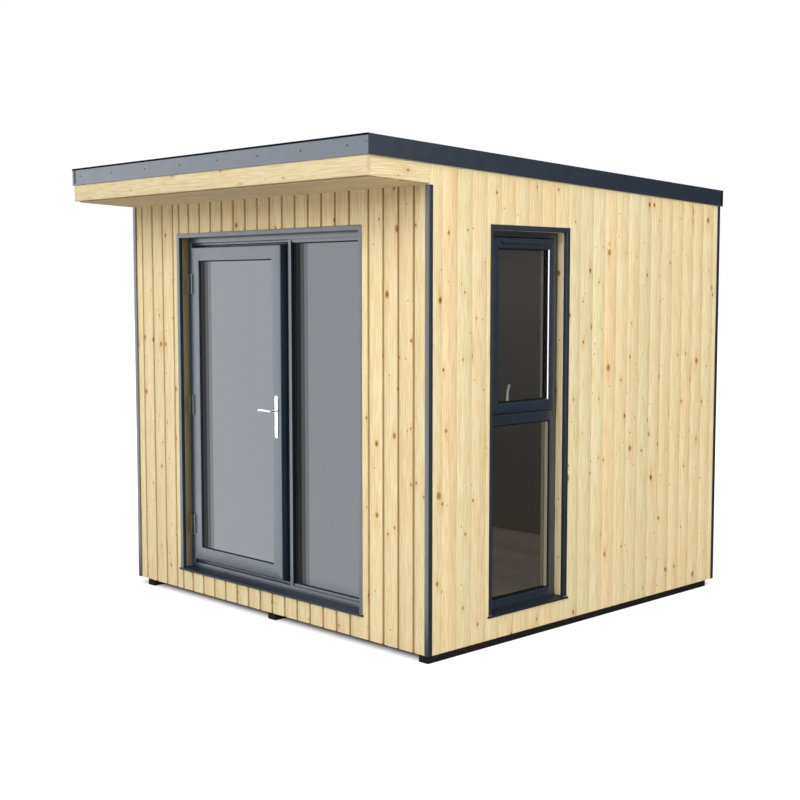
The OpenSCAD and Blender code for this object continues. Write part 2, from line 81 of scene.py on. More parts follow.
DOOR_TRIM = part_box("door_trim")
WINDOW_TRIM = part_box("window_trim")
DOOR_U = (DOOR_TRIM[0].x + TRIM_LEAF, DOOR_TRIM[1].x - TRIM_LEAF)
WINDOW_U = (WINDOW_TRIM[0].y + TRIM_LEAF, WINDOW_TRIM[1].y - TRIM_LEAF)
OPENING_TOP = DOOR_TRIM[1].z - TRIM_LEAF
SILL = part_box("door_sill")
SILL_FOOT = SILL[0].z
FRAME_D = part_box("door_jamb_left")[0].y - FACE_FRONT
INNER_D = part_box("door_jamb_left")[1].y - FACE_FRONT
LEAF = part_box("door_leaf")
LEAF_D = (LEAF[0].y - FACE_FRONT, LEAF[1].y - FACE_FRONT)
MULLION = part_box("door_mullion")
BEAD_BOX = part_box("sidelight_bead")
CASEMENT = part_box("casement")
CASE_D = (FACE_RIGHT - CASEMENT[1].x, FACE_RIGHT - CASEMENT[0].x)


def roof_z(y):
    """Height of the roof's top: a straight fall from front to back."""
    return ROOF_HIGH + ROOF_SLOPE * (np.asarray(y, float) - ROOF_FRONT)


# ---------------------------------------------------------------- places on the building
def on_front(u, d, z):
    """Front wall: (u, face + d, z)."""
    return np.stack(np.broadcast_arrays(u, FACE_FRONT + np.asarray(d, float), z), -1).astype(float)


def on_back(u, d, z):
    """Back wall: (u, face − d, z)."""
    return np.stack(np.broadcast_arrays(u, FACE_BACK - np.asarray(d, float), z), -1).astype(float)


def on_right(u, d, z):
    """Right wall: (face − d, u, z)."""
    return np.stack(np.broadcast_arrays(FACE_RIGHT - np.asarray(d, float), u, z), -1).astype(float)


def on_left(u, d, z):
    """Left wall: (face + d, u, z)."""
    return np.stack(np.broadcast_arrays(FACE_LEFT + np.asarray(d, float), u, z), -1).astype(float)


# ---------------------------------------------------------------- shapes
def soften(outline, radius, steps=3):
    """A closed outline with each corner p turned into a curve.

    With a and b the neighbours of p, the curve is (1−t)²·s + 2t(1−t)·p + t²·e for t from 0
    to 1, where s and e lie one radius from p towards a and towards b, or 0.45 of the way at most.
    """
    p = np.asarray(outline, float)
    back = np.roll(p, 1, 0) - p
    on = np.roll(p, -1, 0) - p
    back_l = np.linalg.norm(back, axis=1, keepdims=True)
    on_l = np.linalg.norm(on, axis=1, keepdims=True)
    r = np.broadcast_to(np.asarray(radius, float), len(p))[:, None]
    start = p + back / back_l * np.minimum(r, 0.45 * back_l)
    end = p + on / on_l * np.minimum(r, 0.45 * on_l)
    t = np.linspace(0, 1, steps + 1)[None, :, None]
    curve = (1 - t) ** 2 * start[:, None] + 2 * t * (1 - t) * p[:, None] + t ** 2 * end[:, None]
    points = curve.reshape(-1, 2)
    apart = np.linalg.norm(points - np.roll(points, 1, 0), axis=1) > 1e-6
    return points[apart]


def block(a0, a1, b0, b1, radius, steps=3):
    """The outline of a rectangle from a0 to a1 and from b0 to b1, with its corners softened."""
    return soften([(a0, b0), (a1, b0), (a1, b1), (a0, b1)], radius, steps)


def skin(rings, wrap=False):
    """Rings of equal length, joined by four-sided faces, with a cap on each end ring.

    rings is (count, points, 3). With wrap the last ring joins the first and there are no caps.
    """
    rings = np.asarray(rings, float)
    count, n = rings.shape[:2]
    k = np.arange(count if wrap else count - 1)[:, None]
    i = np.arange(n)[None, :]
    j = (i + 1) % n
    after = (k + 1) % count
    quads = np.stack([k * n + i, k * n + j, after * n + j, after * n + i], -1).reshape(-1, 4).tolist()
    if not wrap:
        quads += [list(range(n))[::-1], list(range((count - 1) * n, count * n))]
    return rings.reshape(-1, 3), quads


def between(start, end):
    """A closed bar from one copy of an outline to the other."""
    return skin(np.stack([start, end]))


def carried(axis, outline, start, end):
    """An outline carried along axis 0, 1 or 2 from start to end, which may differ at each point.

    It holds the other two coordinates, in the order of x, y and z.
    """
    a, b = np.asarray(outline, float).T
    ends = []
    for at in (start, end):
        coordinates = [a, b]
        coordinates.insert(axis, np.broadcast_to(at, a.shape))
        ends.append(np.stack(coordinates, 1))
    return between(*ends)


def bar(outline, place, z0, z1, across=False):
    """An outline carried from z0 to z1, or with across along u from z0 to z1.

    Upright, outline holds (u, d); across, it holds (d, z). z0 and z1 may differ at each point.
    """
    a, b = np.asarray(outline, float).T
    if across:
        return between(place(np.broadcast_to(z0, a.shape), a, b), place(np.broadcast_to(z1, a.shape), a, b))
    return between(place(a, b, np.broadcast_to(z0, a.shape)), place(a, b, np.broadcast_to(z1, a.shape)))


def ring(rect, profile, place, gap=HAIR, sides="lrtb"):
    """A profile of (inset, d) carried round a rectangle (u0, u1, z0, z1), mitred at its corners.

    A side's point is the rectangle's edge moved in by the inset; its ends stop at the insets of
    the sides next to it, less half the joint's gap. A side whose neighbour is missing is square.
    """
    u0, u1, z0, z1 = rect
    i, d = np.asarray(profile, float).T
    zero = np.zeros_like(i)
    lo_u = u0 + (i + gap if "l" in sides else zero)
    hi_u = u1 - (i + gap if "r" in sides else zero)
    lo_z = z0 + (i + gap if "b" in sides else zero)
    hi_z = z1 - (i + gap if "t" in sides else zero)
    made = {
        "l": (place(u0 + i, d, lo_z), place(u0 + i, d, hi_z)),
        "r": (place(u1 - i, d, lo_z), place(u1 - i, d, hi_z)),
        "b": (place(lo_u, d, z0 + i), place(hi_u, d, z0 + i)),
        "t": (place(lo_u, d, z1 - i), place(hi_u, d, z1 - i)),
    }
    return [between(*made[s]) for s in sides]


def turned(profile, centre, axis, steps=20):
    """A profile of (along, radius) turned round an axis through centre; its ends are capped."""
    along, radius = np.asarray(profile, float).T
    axis = np.asarray(axis, float) / np.linalg.norm(axis)
    side = np.cross(axis, [0, 0, 1.0] if abs(axis[2]) < 0.9 else [1.0, 0, 0])
    side = side / np.linalg.norm(side)
    up = np.cross(axis, side)
    turn = np.linspace(0, 2 * np.pi, steps, endpoint=False)
    wheel = np.cos(turn)[:, None] * side + np.sin(turn)[:, None] * up
    rings = np.asarray(centre, float) + along[:, None, None] * axis + radius[:, None, None] * wheel
    return skin(rings)


def screw(centre, out, radius=0.0035, height=0.0012):
    """A low domed screw head that faces along out, with its rim on centre.

    Its height is height·sin(a) and its radius radius·cos(0.92·a), for a from 0 to a right angle.
    """
    t = np.linspace(0, 1, 4)
    dome = np.stack([height * np.sin(t * np.pi / 2), radius * np.cos(t * np.pi / 2 * 0.92)], 1)
    return turned(np.vstack([[-0.0005, radius], dome]), centre, out, 12)


def swept(path, half_w, half_h, up, steps=16):
    """An oval carried along a path: at each point c + cos(a)·w·side + sin(a)·h·up'.

    side is the path's direction crossed with up, and up' completes the frame.
    """
    path = np.asarray(path, float)
    way = np.gradient(path, axis=0)
    way /= np.linalg.norm(way, axis=1, keepdims=True)
    side = np.cross(way, up)
    side /= np.linalg.norm(side, axis=1, keepdims=True)
    top = np.cross(side, way)
    a = np.linspace(0, 2 * np.pi, steps, endpoint=False)[None, :, None]
    w = np.broadcast_to(half_w, len(path))[:, None, None]
    h = np.broadcast_to(half_h, len(path))[:, None, None]
    return skin(path[:, None] + np.cos(a) * w * side[:, None] + np.sin(a) * h * top[:, None])


def curve_through(points, count=32):
    """A smooth path through control points: a Catmull-Rom spline sampled evenly in its parameter."""
    p = np.asarray(points, float)
    p = np.vstack([2 * p[0] - p[1], p, 2 * p[-1] - p[-2]])
    s = np.linspace(0, len(p) - 3 - 1e-9, count)
    k = s.astype(int)
    t = (s - k)[:, None]
    a, b, c, d = p[k], p[k + 1], p[k + 2], p[k + 3]
    curve = 2 * b + (c - a) * t + (2 * a - 5 * b + 4 * c - d) * t ** 2 + (3 * b - a - 3 * c + d) * t ** 3
    return 0.5 * curve


def round_tip(t, start):
    """Size of a rod along itself, for t from 0 to 1: whole up to start, then a rounded end.

    With s the share of the way from start to 1, at most 0.97, the size is √(1 − s²).
    """
    return np.sqrt(np.clip(1 - np.clip((t - start) / (1 - start), 0, 0.97) ** 2, 0, 1))


# ---------------------------------------------------------------- finishes
class Finish:
    """A node material in the making: each call adds a node and returns its output.

    A value may be a number, a colour or another node's output. Sockets are named with _ for a
    space, or numbered as i0, i1 and so on.
    """

    def __init__(self, name, rough=0.5, metal=0.0, **sockets):
        self.mat = bpy.data.materials.new(name)
        self.mat.use_nodes = True
        self.tree = self.mat.node_tree
        self.shader = self.tree.nodes["Principled BSDF"]
        self.set(self.shader, "Roughness", rough)
        self.set(self.shader, "Metallic", metal)
        for key, value in sockets.items():
            self.set(self.shader, key.replace("_", " "), value)
        self.place = self.tree.nodes.new("ShaderNodeTexCoord").outputs["Object"]

    def set(self, node, key, value):
        socket = node.inputs[key]
        if isinstance(value, bpy.types.NodeSocket):
            self.tree.links.new(value, socket)
        elif isinstance(value, tuple) and len(value) == 3 and len(socket.default_value) == 4:
            socket.default_value = (*value, 1.0)
        else:
            socket.default_value = value

    def node(self, kind, out=0, props=None, **sockets):
        made = self.tree.nodes.new("ShaderNode" + kind)
        for key, value in (props or {}).items():
            setattr(made, key, value)
        for key, value in sockets.items():
            numbered = key[0] == "i" and key[1:].isdigit()
            self.set(made, int(key[1:]) if numbered else key.replace("_", " "), value)
        return made.outputs[out]

    def math(self, what, a, b=0.0):
        return self.node("Math", props={"operation": what}, i0=a, i1=b)

    def plus(self, a, b):
        return self.math("ADD", a, b)

    def less(self, a, b):
        return self.math("SUBTRACT", a, b)

    def times(self, a, b):
        return self.math("MULTIPLY", a, b)

    def vector(self, what, a, b=(0, 0, 0), out=0):
        return self.node("VectorMath", out, {"operation": what}, i0=a, i1=b)

    def split(self, v):
        made = self.tree.nodes.new("ShaderNodeSeparateXYZ")
        self.set(made, 0, v)
        return made.outputs[0], made.outputs[1], made.outputs[2]

    def join(self, x, y, z):
        return self.node("CombineXYZ", X=x, Y=y, Z=z)

    def noise(self, v, scale, detail=2.0, rough=0.5, warp=0.0):
        return self.node("TexNoise", Vector=v, Scale=scale, Detail=detail, Roughness=rough, Distortion=warp)

    def ease(self, value, low, high, to_low=0.0, to_high=1.0):
        return self.node("MapRange", props={"interpolation_type": "SMOOTHSTEP"}, Value=value,
                         i1=low, i2=high, i3=to_low, i4=to_high)

    def mix(self, share, a, b, blend="MIX"):
        return self.node("Mix", out=2, props={"data_type": "RGBA", "blend_type": blend}, i0=share, i6=a, i7=b)

    def shade(self, colour, by):
        return self.mix(1.0, colour, by, "MULTIPLY")

    def attribute(self, name):
        return self.node("Attribute", out=2, props={"attribute_name": name})

    def bump(self, height, distance, strength=1.0):
        bumped = self.node("Bump", Height=height, Distance=distance, Strength=strength)
        self.set(self.shader, "Normal", bumped)
        return self

    def colour(self, value):
        self.set(self.shader, "Base Color", value)
        return self

    def rough(self, value):
        self.set(self.shader, "Roughness", value)
        return self


PINE_WARM = (0.83, 0.685, 0.405)
PINE_PALE = (0.82, 0.745, 0.460)
STREAK = (0.90, 0.77, 0.60)
GROWTH_LINE = (0.78, 0.60, 0.40)
KNOT_HALO = (0.86, 0.60, 0.34)
KNOT_DARK = (0.10, 0.040, 0.015)
KNOT_RED = (0.34, 0.15, 0.05)
KNOT_RIM = (0.50, 0.26, 0.095)
PIN_KNOT = (0.27, 0.13, 0.05)
GROOVE_TONE_AND_SHADE = (0.30, 0.190, 0.060)


def pine(name, along, warm=PINE_WARM, pale=PINE_PALE, knots=1.0):
    """Planed softwood with its grain along one axis.

    Each board's own number shifts the pattern and leans its colour to pale or warm. Streaks and
    growth lines are noise drawn out along the grain. A knot sits in most cells of a Voronoi
    pattern, the growth lines bend round it, and a second, finer pattern adds pin knots.
    """
    f = Finish(name, rough=0.6, Specular_IOR_Level=0.2)
    board = f.attribute("board")
    x, y, z = f.split(f.place)
    run, side, other = {"z": (z, x, y), "x": (x, y, z), "y": (y, z, 0.0)}[along]
    shift = f.times(board, 37.0)
    across = f.plus(f.plus(side, other), shift)
    length = f.plus(run, f.times(board, 13.0))

    def grain(stretch, scale, detail=2.0, rough=0.5, warp=0.0, apart=0.0):
        """Noise drawn out along the board, where a stretch of its length counts as that share."""
        at = f.join(across, f.times(length, stretch), f.plus(shift, apart))
        return f.noise(at, scale, detail, rough, warp)

    def cells(wide_scale, long_scale, likely):
        """Distance to the nearest cell point, round and drawn out, with the cell's own numbers."""
        cell = f.join(f.times(across, wide_scale), f.times(length, long_scale), 0.0)
        node = f.tree.nodes.new("ShaderNodeTexVoronoi")
        node.voronoi_dimensions = "2D"
        f.set(node, "Vector", cell)
        f.set(node, "Scale", 1.0)
        f.set(node, "Randomness", 1.0)
        off_u, off_l, _ = f.split(f.vector("SUBTRACT", cell, node.outputs["Position"]))
        chance, size, tint = f.split(node.outputs["Color"])
        away = []
        for drawn in (1.35, 3.4):
            far_u, far_l = f.math("DIVIDE", off_u, wide_scale), f.math("DIVIDE", off_l, long_scale * drawn)
            away.append(f.vector("LENGTH", f.join(far_u, far_l, 0.0), out=1))
        return away[0], away[1], size, tint, f.ease(chance, likely, likely + 0.03, 1.0, 0.0)

    def stain(colour, towards, share, most):
        """A colour leaned towards another by a share of the most that it may be."""
        return f.mix(f.times(share, most), colour, towards)

    near, drawn, size, tint, there = cells(9.5, 3.1, 0.64)
    radius = f.times(f.plus(f.times(f.math("POWER", size, 2.0), 0.0125), 0.0058), knots)
    reach = f.plus(f.math("DIVIDE", near, radius), f.times(grain(1.0, 190.0), 0.6))
    bend = f.times(f.ease(f.math("DIVIDE", drawn, radius), 0.5, 2.4, 1.0, 0.0), there)
    pin, _, _, _, pin_there = cells(14.0, 4.5, 0.24)
    pin = f.times(f.ease(pin, 0.0026, 0.0052, 1.0, 0.0), pin_there)

    broad = grain(0.075, 85.0, 3.0, 0.6, 0.2)
    fibre = grain(0.045, 170.0, 3.0, 0.6)
    phase = f.plus(f.times(across, 150.0), f.times(grain(0.16, 8.0), 11.0))
    phase = f.plus(phase, f.times(bend, 2.2))
    line = f.math("POWER", f.ease(f.math("SINE", f.times(phase, 2.856)), -1.0, 1.0), 3.0)
    line = f.times(line, f.ease(grain(0.08, 16.0, apart=5.0), 0.40, 0.66))
    hue = f.ease(f.noise(f.join(f.times(board, 91.0), 0.0, 0.0), 5.0, 0.0), 0.30, 0.70)
    light = f.noise(f.join(0.0, f.times(board, 71.0), 3.0), 5.0, 0.0)
    light = f.ease(light, 0.3, 0.7, 0.96, 1.05)

    wood = f.mix(hue, pale, warm)
    brown = f.shade(wood, GROWTH_LINE)
    wood = stain(wood, f.shade(wood, STREAK), f.ease(broad, 0.46, 0.62), 0.46)
    wood = stain(wood, brown, line, 0.40)
    wood = stain(wood, brown, f.ease(fibre, 0.42, 0.66), 0.44)
    wood = stain(wood, f.shade(wood, KNOT_HALO), f.math("POWER", bend, 1.5), 0.36)
    knot = f.mix(f.ease(tint, 0.45, 0.65), KNOT_DARK, KNOT_RED)
    knot = f.mix(f.ease(reach, 0.40, 0.90), knot, KNOT_RIM)
    wood = stain(wood, knot, f.ease(reach, 0.95, 1.30, 1.0, 0.0), there)
    wood = stain(wood, PIN_KNOT, pin, 0.70)
    # Grooves take a dark tone that is partly the joint's own and partly painted shade
    wood = stain(wood, GROOVE_TONE_AND_SHADE, f.attribute("groove"), 0.90)
    f.colour(f.shade(wood, f.join(light, light, light)))
    f.rough(f.ease(fibre, 0.3, 0.8, 0.54, 0.68))
    return f.bump(f.plus(f.times(fibre, 0.6), f.times(line, -0.4)), 0.0004, 0.6).mat


def coated(name, colour, rough, metal, grain=900.0, depth=0.00006, **sockets):
    """Coated metal or plastic: one colour that drifts a little, with a fine orange-peel bump."""
    f = Finish(name, rough=rough, metal=metal, **sockets)
    drift = f.ease(f.noise(f.place, 2.3, 3.0), 0.3, 0.7)
    darker = tuple(c * 0.88 for c in colour)
    f.colour(f.mix(drift, darker, colour))
    f.rough(f.ease(f.noise(f.place, 14.0, 4.0), 0.3, 0.7, rough - 0.04, rough + 0.05))
    return f.bump(f.noise(f.place, grain, 2.0), depth, 0.5).mat


def clear_glazing(name, colour, share):
    """Tinted glass one can see through: the shader's alpha lets a share of the light pass."""
    f = Finish(name, rough=0.05, Alpha=share, Specular_IOR_Level=0.25)
    haze = f.ease(f.noise(f.place, 1.7, 2.0), 0.2, 0.8)
    return f.colour(f.mix(haze, tuple(c * 0.97 for c in colour), colour)).mat


# Painted shade in steps on the front panes, beside their left edges
SHADE_STEP_START = 0.056      # from a front pane's left edge to its first step
SHADE_STEP_W = 0.030          # width of a step
SHADE_STEP_DARKEST = 0.02        # brightness before the first step
SHADE_STEP_RISES = (0.25, 0.36, 0.35)


def mirror_glazing(name, node, colour):
    """Grey mirrored glass, with painted shade in steps beside the pane's left edge.

    The steps paint the shade of reflections that the frame's side hides: a step ends where the frame's side
    stops hiding what one more of the glass faces reflects.
    """
    f = Finish(name, rough=0.03, metal=1.0)
    along, _, _ = f.split(f.place)
    left = min(v.co.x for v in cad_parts[node].data.vertices)
    inward = f.less(along, left + SHADE_STEP_START)
    waves = f.noise(f.join(along, 0.0, 0.0), 26.0, 2.0)
    level = f.plus(f.times(waves, 0.05), SHADE_STEP_DARKEST)
    for step, rise in enumerate(SHADE_STEP_RISES):
        there = f.ease(inward, SHADE_STEP_W * step, SHADE_STEP_W * (step + 0.08))
        level = f.plus(level, f.times(there, rise))
    return f.colour(f.shade(colour, f.join(level, level, level))).mat


def plain_finish(name, colour, rough, metal=0.0, vary=0.1, scale=30.0, depth=0.0002, shine=0.1, **sockets):
    """A surface whose colour, roughness and height follow one noise pattern."""
    f = Finish(name, metal=metal, Specular_IOR_Level=shine, **sockets)
    n = f.noise(f.place, scale, 5.0, 0.6)
    darker, lighter = (tuple(c * (1 + change) for c in colour) for change in (-vary, vary))
    f.colour(f.mix(f.ease(n, 0.3, 0.7), darker, lighter))
    f.rough(f.ease(n, 0.3, 0.7, rough - 0.05, rough + 0.05))
    return f.bump(n, depth, 0.6).mat


PINE_UP = pine("pine_upright", "z")
# The door's reveal lining is a darker copy of the upright pine: painted shade
PINE_REVEAL_SHADED = pine("pine_in_reveal", "z", warm=(0.235, 0.20, 0.105), pale=(0.25, 0.215, 0.12), knots=0.4)
PINE_X = pine("pine_along_x", "x", warm=(0.66, 0.545, 0.325), pale=(0.65, 0.59, 0.375), knots=0.6)
PINE_Y = pine("pine_along_y", "y")
PINE_FLOOR = pine("floor_plank", "x", warm=(0.80, 0.72, 0.65), pale=(0.92, 0.86, 0.79), knots=0.5)
EDGE_METAL = coated("anthracite_metal", (0.017, 0.028, 0.046), 0.40, 0.0,
                    Specular_IOR_Level=0.9, Coat_Weight=0.5, Coat_Roughness=0.30)
SILL_METAL = coated("anthracite_sill", (0.014, 0.022, 0.034), 0.42, 0.0, Specular_IOR_Level=0.30)
EDGE_DARK = coated("anthracite_edge_roll", (0.008, 0.010, 0.014), 0.5, 0.0, Specular_IOR_Level=0.0)
PLASTIC = coated("anthracite_foil", (0.017, 0.029, 0.049), 0.36, 0.0,
                 Specular_IOR_Level=0.9, Coat_Weight=0.65, Coat_Roughness=0.24)
SEAL = plain_finish("black_gasket", (0.010, 0.010, 0.011), 0.55, depth=0.0001, scale=300.0)
SPACER_DARK = plain_finish("dark_spacer", (0.012, 0.013, 0.015), 0.5, vary=0.02, scale=600.0, depth=0.0001)
# Painted highlight: a white strip that glows, for the glint along the casement's pane-side edge
PAINTED_HIGHLIGHT_STRIP = plain_finish("white_seal", (0.90, 0.90, 0.90), 0.4, vary=0.02, scale=300.0, depth=0.0001,
                          Emission_Color=(1.0, 1.0, 1.0), Emission_Strength=0.8)
# The satin handle's emission is painted light: it glows so as to show through the dark side glass
HANDLE_SATIN_GLOWING = plain_finish("satin_silver_painted_glow", (0.85, 0.86, 0.87), 0.30, metal=0.25, vary=0.02, scale=40.0,
                     depth=0.00002, shine=0.5, Emission_Color=(1.0, 1.0, 1.0), Emission_Strength=0.35)
# Painted light: the tan strip in the lower pane glows so it shows through the dark side glass
TAN_STRIP_GLOWING = plain_finish("tan_spacer", (0.60, 0.53, 0.37), 0.5, vary=0.03, scale=300.0, depth=0.0001,
                          Emission_Color=(0.60, 0.53, 0.37), Emission_Strength=0.25)
# Painted light: the grey strip behind the casement glass glows
GREY_STRIP_GLOWING = plain_finish("grey_strip", (0.50, 0.49, 0.47), 0.5, vary=0.03, scale=300.0, depth=0.0001,
                          Emission_Color=(0.50, 0.49, 0.47), Emission_Strength=0.25)
CHROME = plain_finish("polished_chrome", (0.86, 0.87, 0.88), 0.13, metal=1.0, vary=0.02, scale=40.0,
                      depth=0.00002)
# Painted shade: the hinge's knuckles and leaves are dark olive like the reveal in shade, with little
# reflection
HINGE_PAINTED_SHADE = coated("hinge_barrel", (0.070, 0.066, 0.048), 0.5, 0.0, Specular_IOR_Level=0.15)
HINGE = coated("satin_hinge", (0.20, 0.21, 0.225), 0.36, 0.75)
SCREW = plain_finish("dark_screws", (0.012, 0.013, 0.016), 0.45, metal=0.4, scale=500.0)
LINING = plain_finish("wall_lining", (0.42, 0.41, 0.39), 0.55, vary=0.03, scale=6.0, depth=0.0002)
PANEL = plain_finish("panel_core", (0.52, 0.50, 0.46), 0.7, vary=0.06, scale=20.0)
RUBBER = plain_finish("roof_membrane", (0.020, 0.021, 0.023), 0.62, vary=0.2, scale=45.0, depth=0.0012)
BEARER = plain_finish("treated_bearer", (0.014, 0.013, 0.012), 0.8, vary=0.35, scale=90.0, depth=0.0008)
GLASS_DOOR = mirror_glazing("door_glazing", "door_glass", (0.148, 0.151, 0.156))
GLASS_SIDELIGHT = mirror_glazing("sidelight_glazing", "sidelight_glass", (0.118, 0.120, 0.126))
GLASS_SIDE = clear_glazing("side_glazing", (0.016, 0.014, 0.011), 0.20)
# Painted shade: a near-black finish for the dark strip that stands for the inside of the keyhole
KEYHOLE_SHADE_FINISH = plain_finish("key_slot", (0.008, 0.008, 0.009), 0.5, scale=300.0)


# ---------------------------------------------------------------- making pieces
rng = np.random.default_rng(7)


def piece(name, parts, material, body="building", replaces=(), smooth=35, board=None, groove=None):
    """Parts of (points, faces) joined into one mesh that rides on a body.

    board gives each part a number that its wood pattern starts from, and groove each part's
    share of groove colour at its points: a dark joint tone with painted shade.
    """
    points = np.vstack([p for p, _ in parts])
    first = np.cumsum([0] + [len(p) for p, _ in parts])
    faces = [[int(i) + int(at) for i in face] for (_, fs), at in zip(parts, first) for face in fs]
    mesh = bpy.data.meshes.new(name)
    mesh.from_pydata(points.tolist(), [], faces)
    mesh.validate()
    if board is not None:
        seeds = np.repeat(np.asarray(board, float), [len(p) for p, _ in parts])
        mesh.attributes.new("board", "FLOAT", "POINT").data.foreach_set("value", seeds)
    if groove is not None:
        mesh.attributes.new("groove", "FLOAT", "POINT").data.foreach_set("value", np.concatenate(groove))
    work = bmesh.new()
    work.from_mesh(mesh)
    bmesh.ops.recalc_face_normals(work, faces=work.faces)
    work.to_mesh(mesh)
    work.free()
    mesh.shade_smooth()
    mesh.set_sharp_from_angle(angle=math.radians(smooth))
    mesh.materials.append(material)
    made = bpy.data.objects.new(name, mesh)
    bpy.context.scene.collection.objects.link(made)
    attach(made, body)
    if replaces:
        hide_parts(*replaces)
    return made


# ---------------------------------------------------------------- cladding
def board_front(u0, u1, groove_w, groove_d):
    """Depth of a board's face over its width: a groove floor, then a face with eased edges."""
    round_w = min(0.0025, groove_d * 0.4)
    u = np.array([u0, u0 + groove_w, u0 + groove_w, u0 + groove_w + round_w * 0.4, u0 + groove_w + round_w,
                  u1 - round_w, u1 - round_w * 0.4, u1])
    d = np.array([groove_d, groove_d, round_w, round_w * 0.3, 0, 0, round_w * 0.3, round_w])
    return u, d


def board_outline(u, d, low, high, thick):
    """The stretch of a board between low and high, closed along its back: (u, d) points."""
    inside = (u > low + 1e-6) & (u < high - 1e-6)
    us = np.concatenate([[low], u[inside], [high]])
    ds = np.concatenate([[np.interp(low, u, d)], d[inside], [np.interp(high, u, d)]])
    if low <= u[0] + 1e-6:
        ds[0] = d[0]
    if high >= u[-1] - 1e-6:
        ds[-1] = d[-1]
    return np.column_stack([np.append(us, [high, low]), np.append(ds, [thick, thick])])


# The groove colour is a dark joint tone with painted shade on the groove's floor
GROOVE = (0.015, 0.009, 1.0)        # between the front's boards: width, depth and share of groove colour
SEAM = (0.0014, 0.0012, 0.25)       # between the boards of the other walls
NARROWEST = 0.012                   # a board cut thinner than this joins its neighbour


def cladding(name, node, place, edges, top, hole=None, joint=SEAM):
    """Upright boards between neighbouring edges, each with its groove on the left.

    top(u) gives the boards' upper ends. A hole (u0, u1, z0, z1) cuts the boards that it crosses.
    """
    groove_w, groove_d, tint = joint
    parts, seeds, grooves = [], [], []
    for u0, u1 in zip(edges[:-1], edges[1:]):
        seed = rng.uniform(0, 1)
        u, d = board_front(u0, u1, groove_w, groove_d)
        cuts = [u0, u1]
        if hole:
            cuts = sorted({u0, u1, *(c for c in hole[:2] if u0 < c < u1)})
        for low, high in zip(cuts[:-1], cuts[1:]):
            outline = board_outline(u, d, low, high, CLAD_T)
            at_top = top(outline[:, 0])
            spans = [(CLAD_FOOT, at_top)]
            if hole and hole[0] < (low + high) / 2 < hole[1]:
                spans = [(CLAD_FOOT, hole[2]), (hole[3], at_top)]
            for z0, z1 in spans:
                parts.append(bar(outline, place, z0, z1))
                seeds.append(seed)
                # points deep in the groove take the groove's tone and painted shade
                deep = (outline[:, 1] > groove_d * 0.6) * tint
                grooves.append(np.tile(deep, 2))
    return piece(name, parts, PINE_UP, replaces=[node], smooth=30,
                 board=seeds, groove=grooves)


def even_edges(low, high, first):
    """Board edges from low to high: the first seam at first, and one more at every board after it."""
    seams = np.arange(first, high - NARROWEST, BOARD)
    return [low, *seams[seams > low + NARROWEST], high]


def hole_of(trim_u):
    """The hole that an opening cuts in the boards, clear of its folded trim by a hair."""
    edge = ANGLE_T + HAIR
    return (trim_u[0] - edge, trim_u[1] + edge, SILL_FOOT, OPENING_TOP + edge)


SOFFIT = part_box("soffit")
CLAD_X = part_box("front_cladding")[1].x
FRONT_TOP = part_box("front_cladding")[1].z
FIRST_SEAM_X = -1.171                # at the left of the front, and on the back
PANEL_OVER_DOOR = (-0.790, 0.826)    # seams where the boards over the door start and end
PANEL_SEAM_X = -0.694                # first seam between them
PANEL_LAST_W = 0.142                 # their last board, which is wider
SIDE_SEAM_Y = -0.960                 # first seam on the side walls
front_edges = even_edges(-CLAD_X, PANEL_OVER_DOOR[0], FIRST_SEAM_X)
front_edges += even_edges(PANEL_OVER_DOOR[0], PANEL_OVER_DOOR[1] - PANEL_LAST_W, PANEL_SEAM_X)[1:]
front_edges += even_edges(PANEL_OVER_DOOR[1], CLAD_X, PANEL_OVER_DOOR[1] + BOARD)
cladding("front_boards", "front_cladding", on_front, front_edges,
         lambda u: np.full_like(u, FRONT_TOP), hole_of(DOOR_U), GROOVE)
SIDE_DROP = TRIM_H + HAIR
for side, place in (("left", on_left), ("right", on_right)):
    cladding(side + "_boards", side + "_cladding", place, even_edges(FACE_FRONT, FACE_BACK, SIDE_SEAM_Y),
             lambda u: roof_z(u) - SIDE_DROP, hole_of(WINDOW_U) if side == "right" else None)
BACK_GAP = 0.0008                    # under the back trim's slope
BACK_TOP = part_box("back_cladding")[1].z - BACK_GAP
cladding("back_boards", "back_cladding", on_back, even_edges(-CLAD_X, CLAD_X, FIRST_SEAM_X),
         lambda u: np.full_like(u, BACK_TOP))


# ---------------------------------------------------------------- canopy
def sloped(outline, x0, x1):
    """A (y, drop) outline carried along X, hung from the roof's top: z = roof(y) − drop."""
    y, drop = np.asarray(outline, float).T
    return carried(0, np.column_stack([y, roof_z(y) - drop]), x0, x1)


def follow(outline, y0, y1):
    """An (x, drop) outline carried along Y, hung from the roof's top."""
    x, drop = np.asarray(outline, float).T
    return between(*(np.stack([x, np.full_like(x, y), roof_z(y) - drop], 1) for y in (y0, y1)))


SOFFIT_FOOT = roof_z(SOFFIT[1].y) - SOFFIT[0].z
SOFFIT_TOP = roof_z(SOFFIT[0].y) - SOFFIT[1].z
SOFFIT_BOARDS = 4
SOFFIT_GROOVE = (0.006, 0.005)
soffit_seams = np.linspace(SOFFIT[0].y, FACE_FRONT + CLAD_T, SOFFIT_BOARDS + 1)
soffit_parts = []
soffit_grooves = []
for y0, y1 in zip(soffit_seams[:-1], soffit_seams[1:]):
    u, d = board_front(y0, y1, *SOFFIT_GROOVE)
    drop = SOFFIT_FOOT - np.append(d, [SOFFIT_FOOT - SOFFIT_TOP] * 2)
    soffit_parts.append(sloped(np.column_stack([np.append(u, [y1, y0]), drop]), SOFFIT[0].x, SOFFIT[1].x))
    # points deep in a soffit groove take the groove's tone and painted shade
    in_groove = np.append(d, [0, 0]) > SOFFIT_GROOVE[1] * 0.8
    soffit_grooves.append(np.tile(in_groove.astype(float), 2))
piece("soffit_boards", soffit_parts, PINE_X, replaces=["soffit"],
      board=rng.uniform(0, 1, SOFFIT_BOARDS), groove=soffit_grooves)

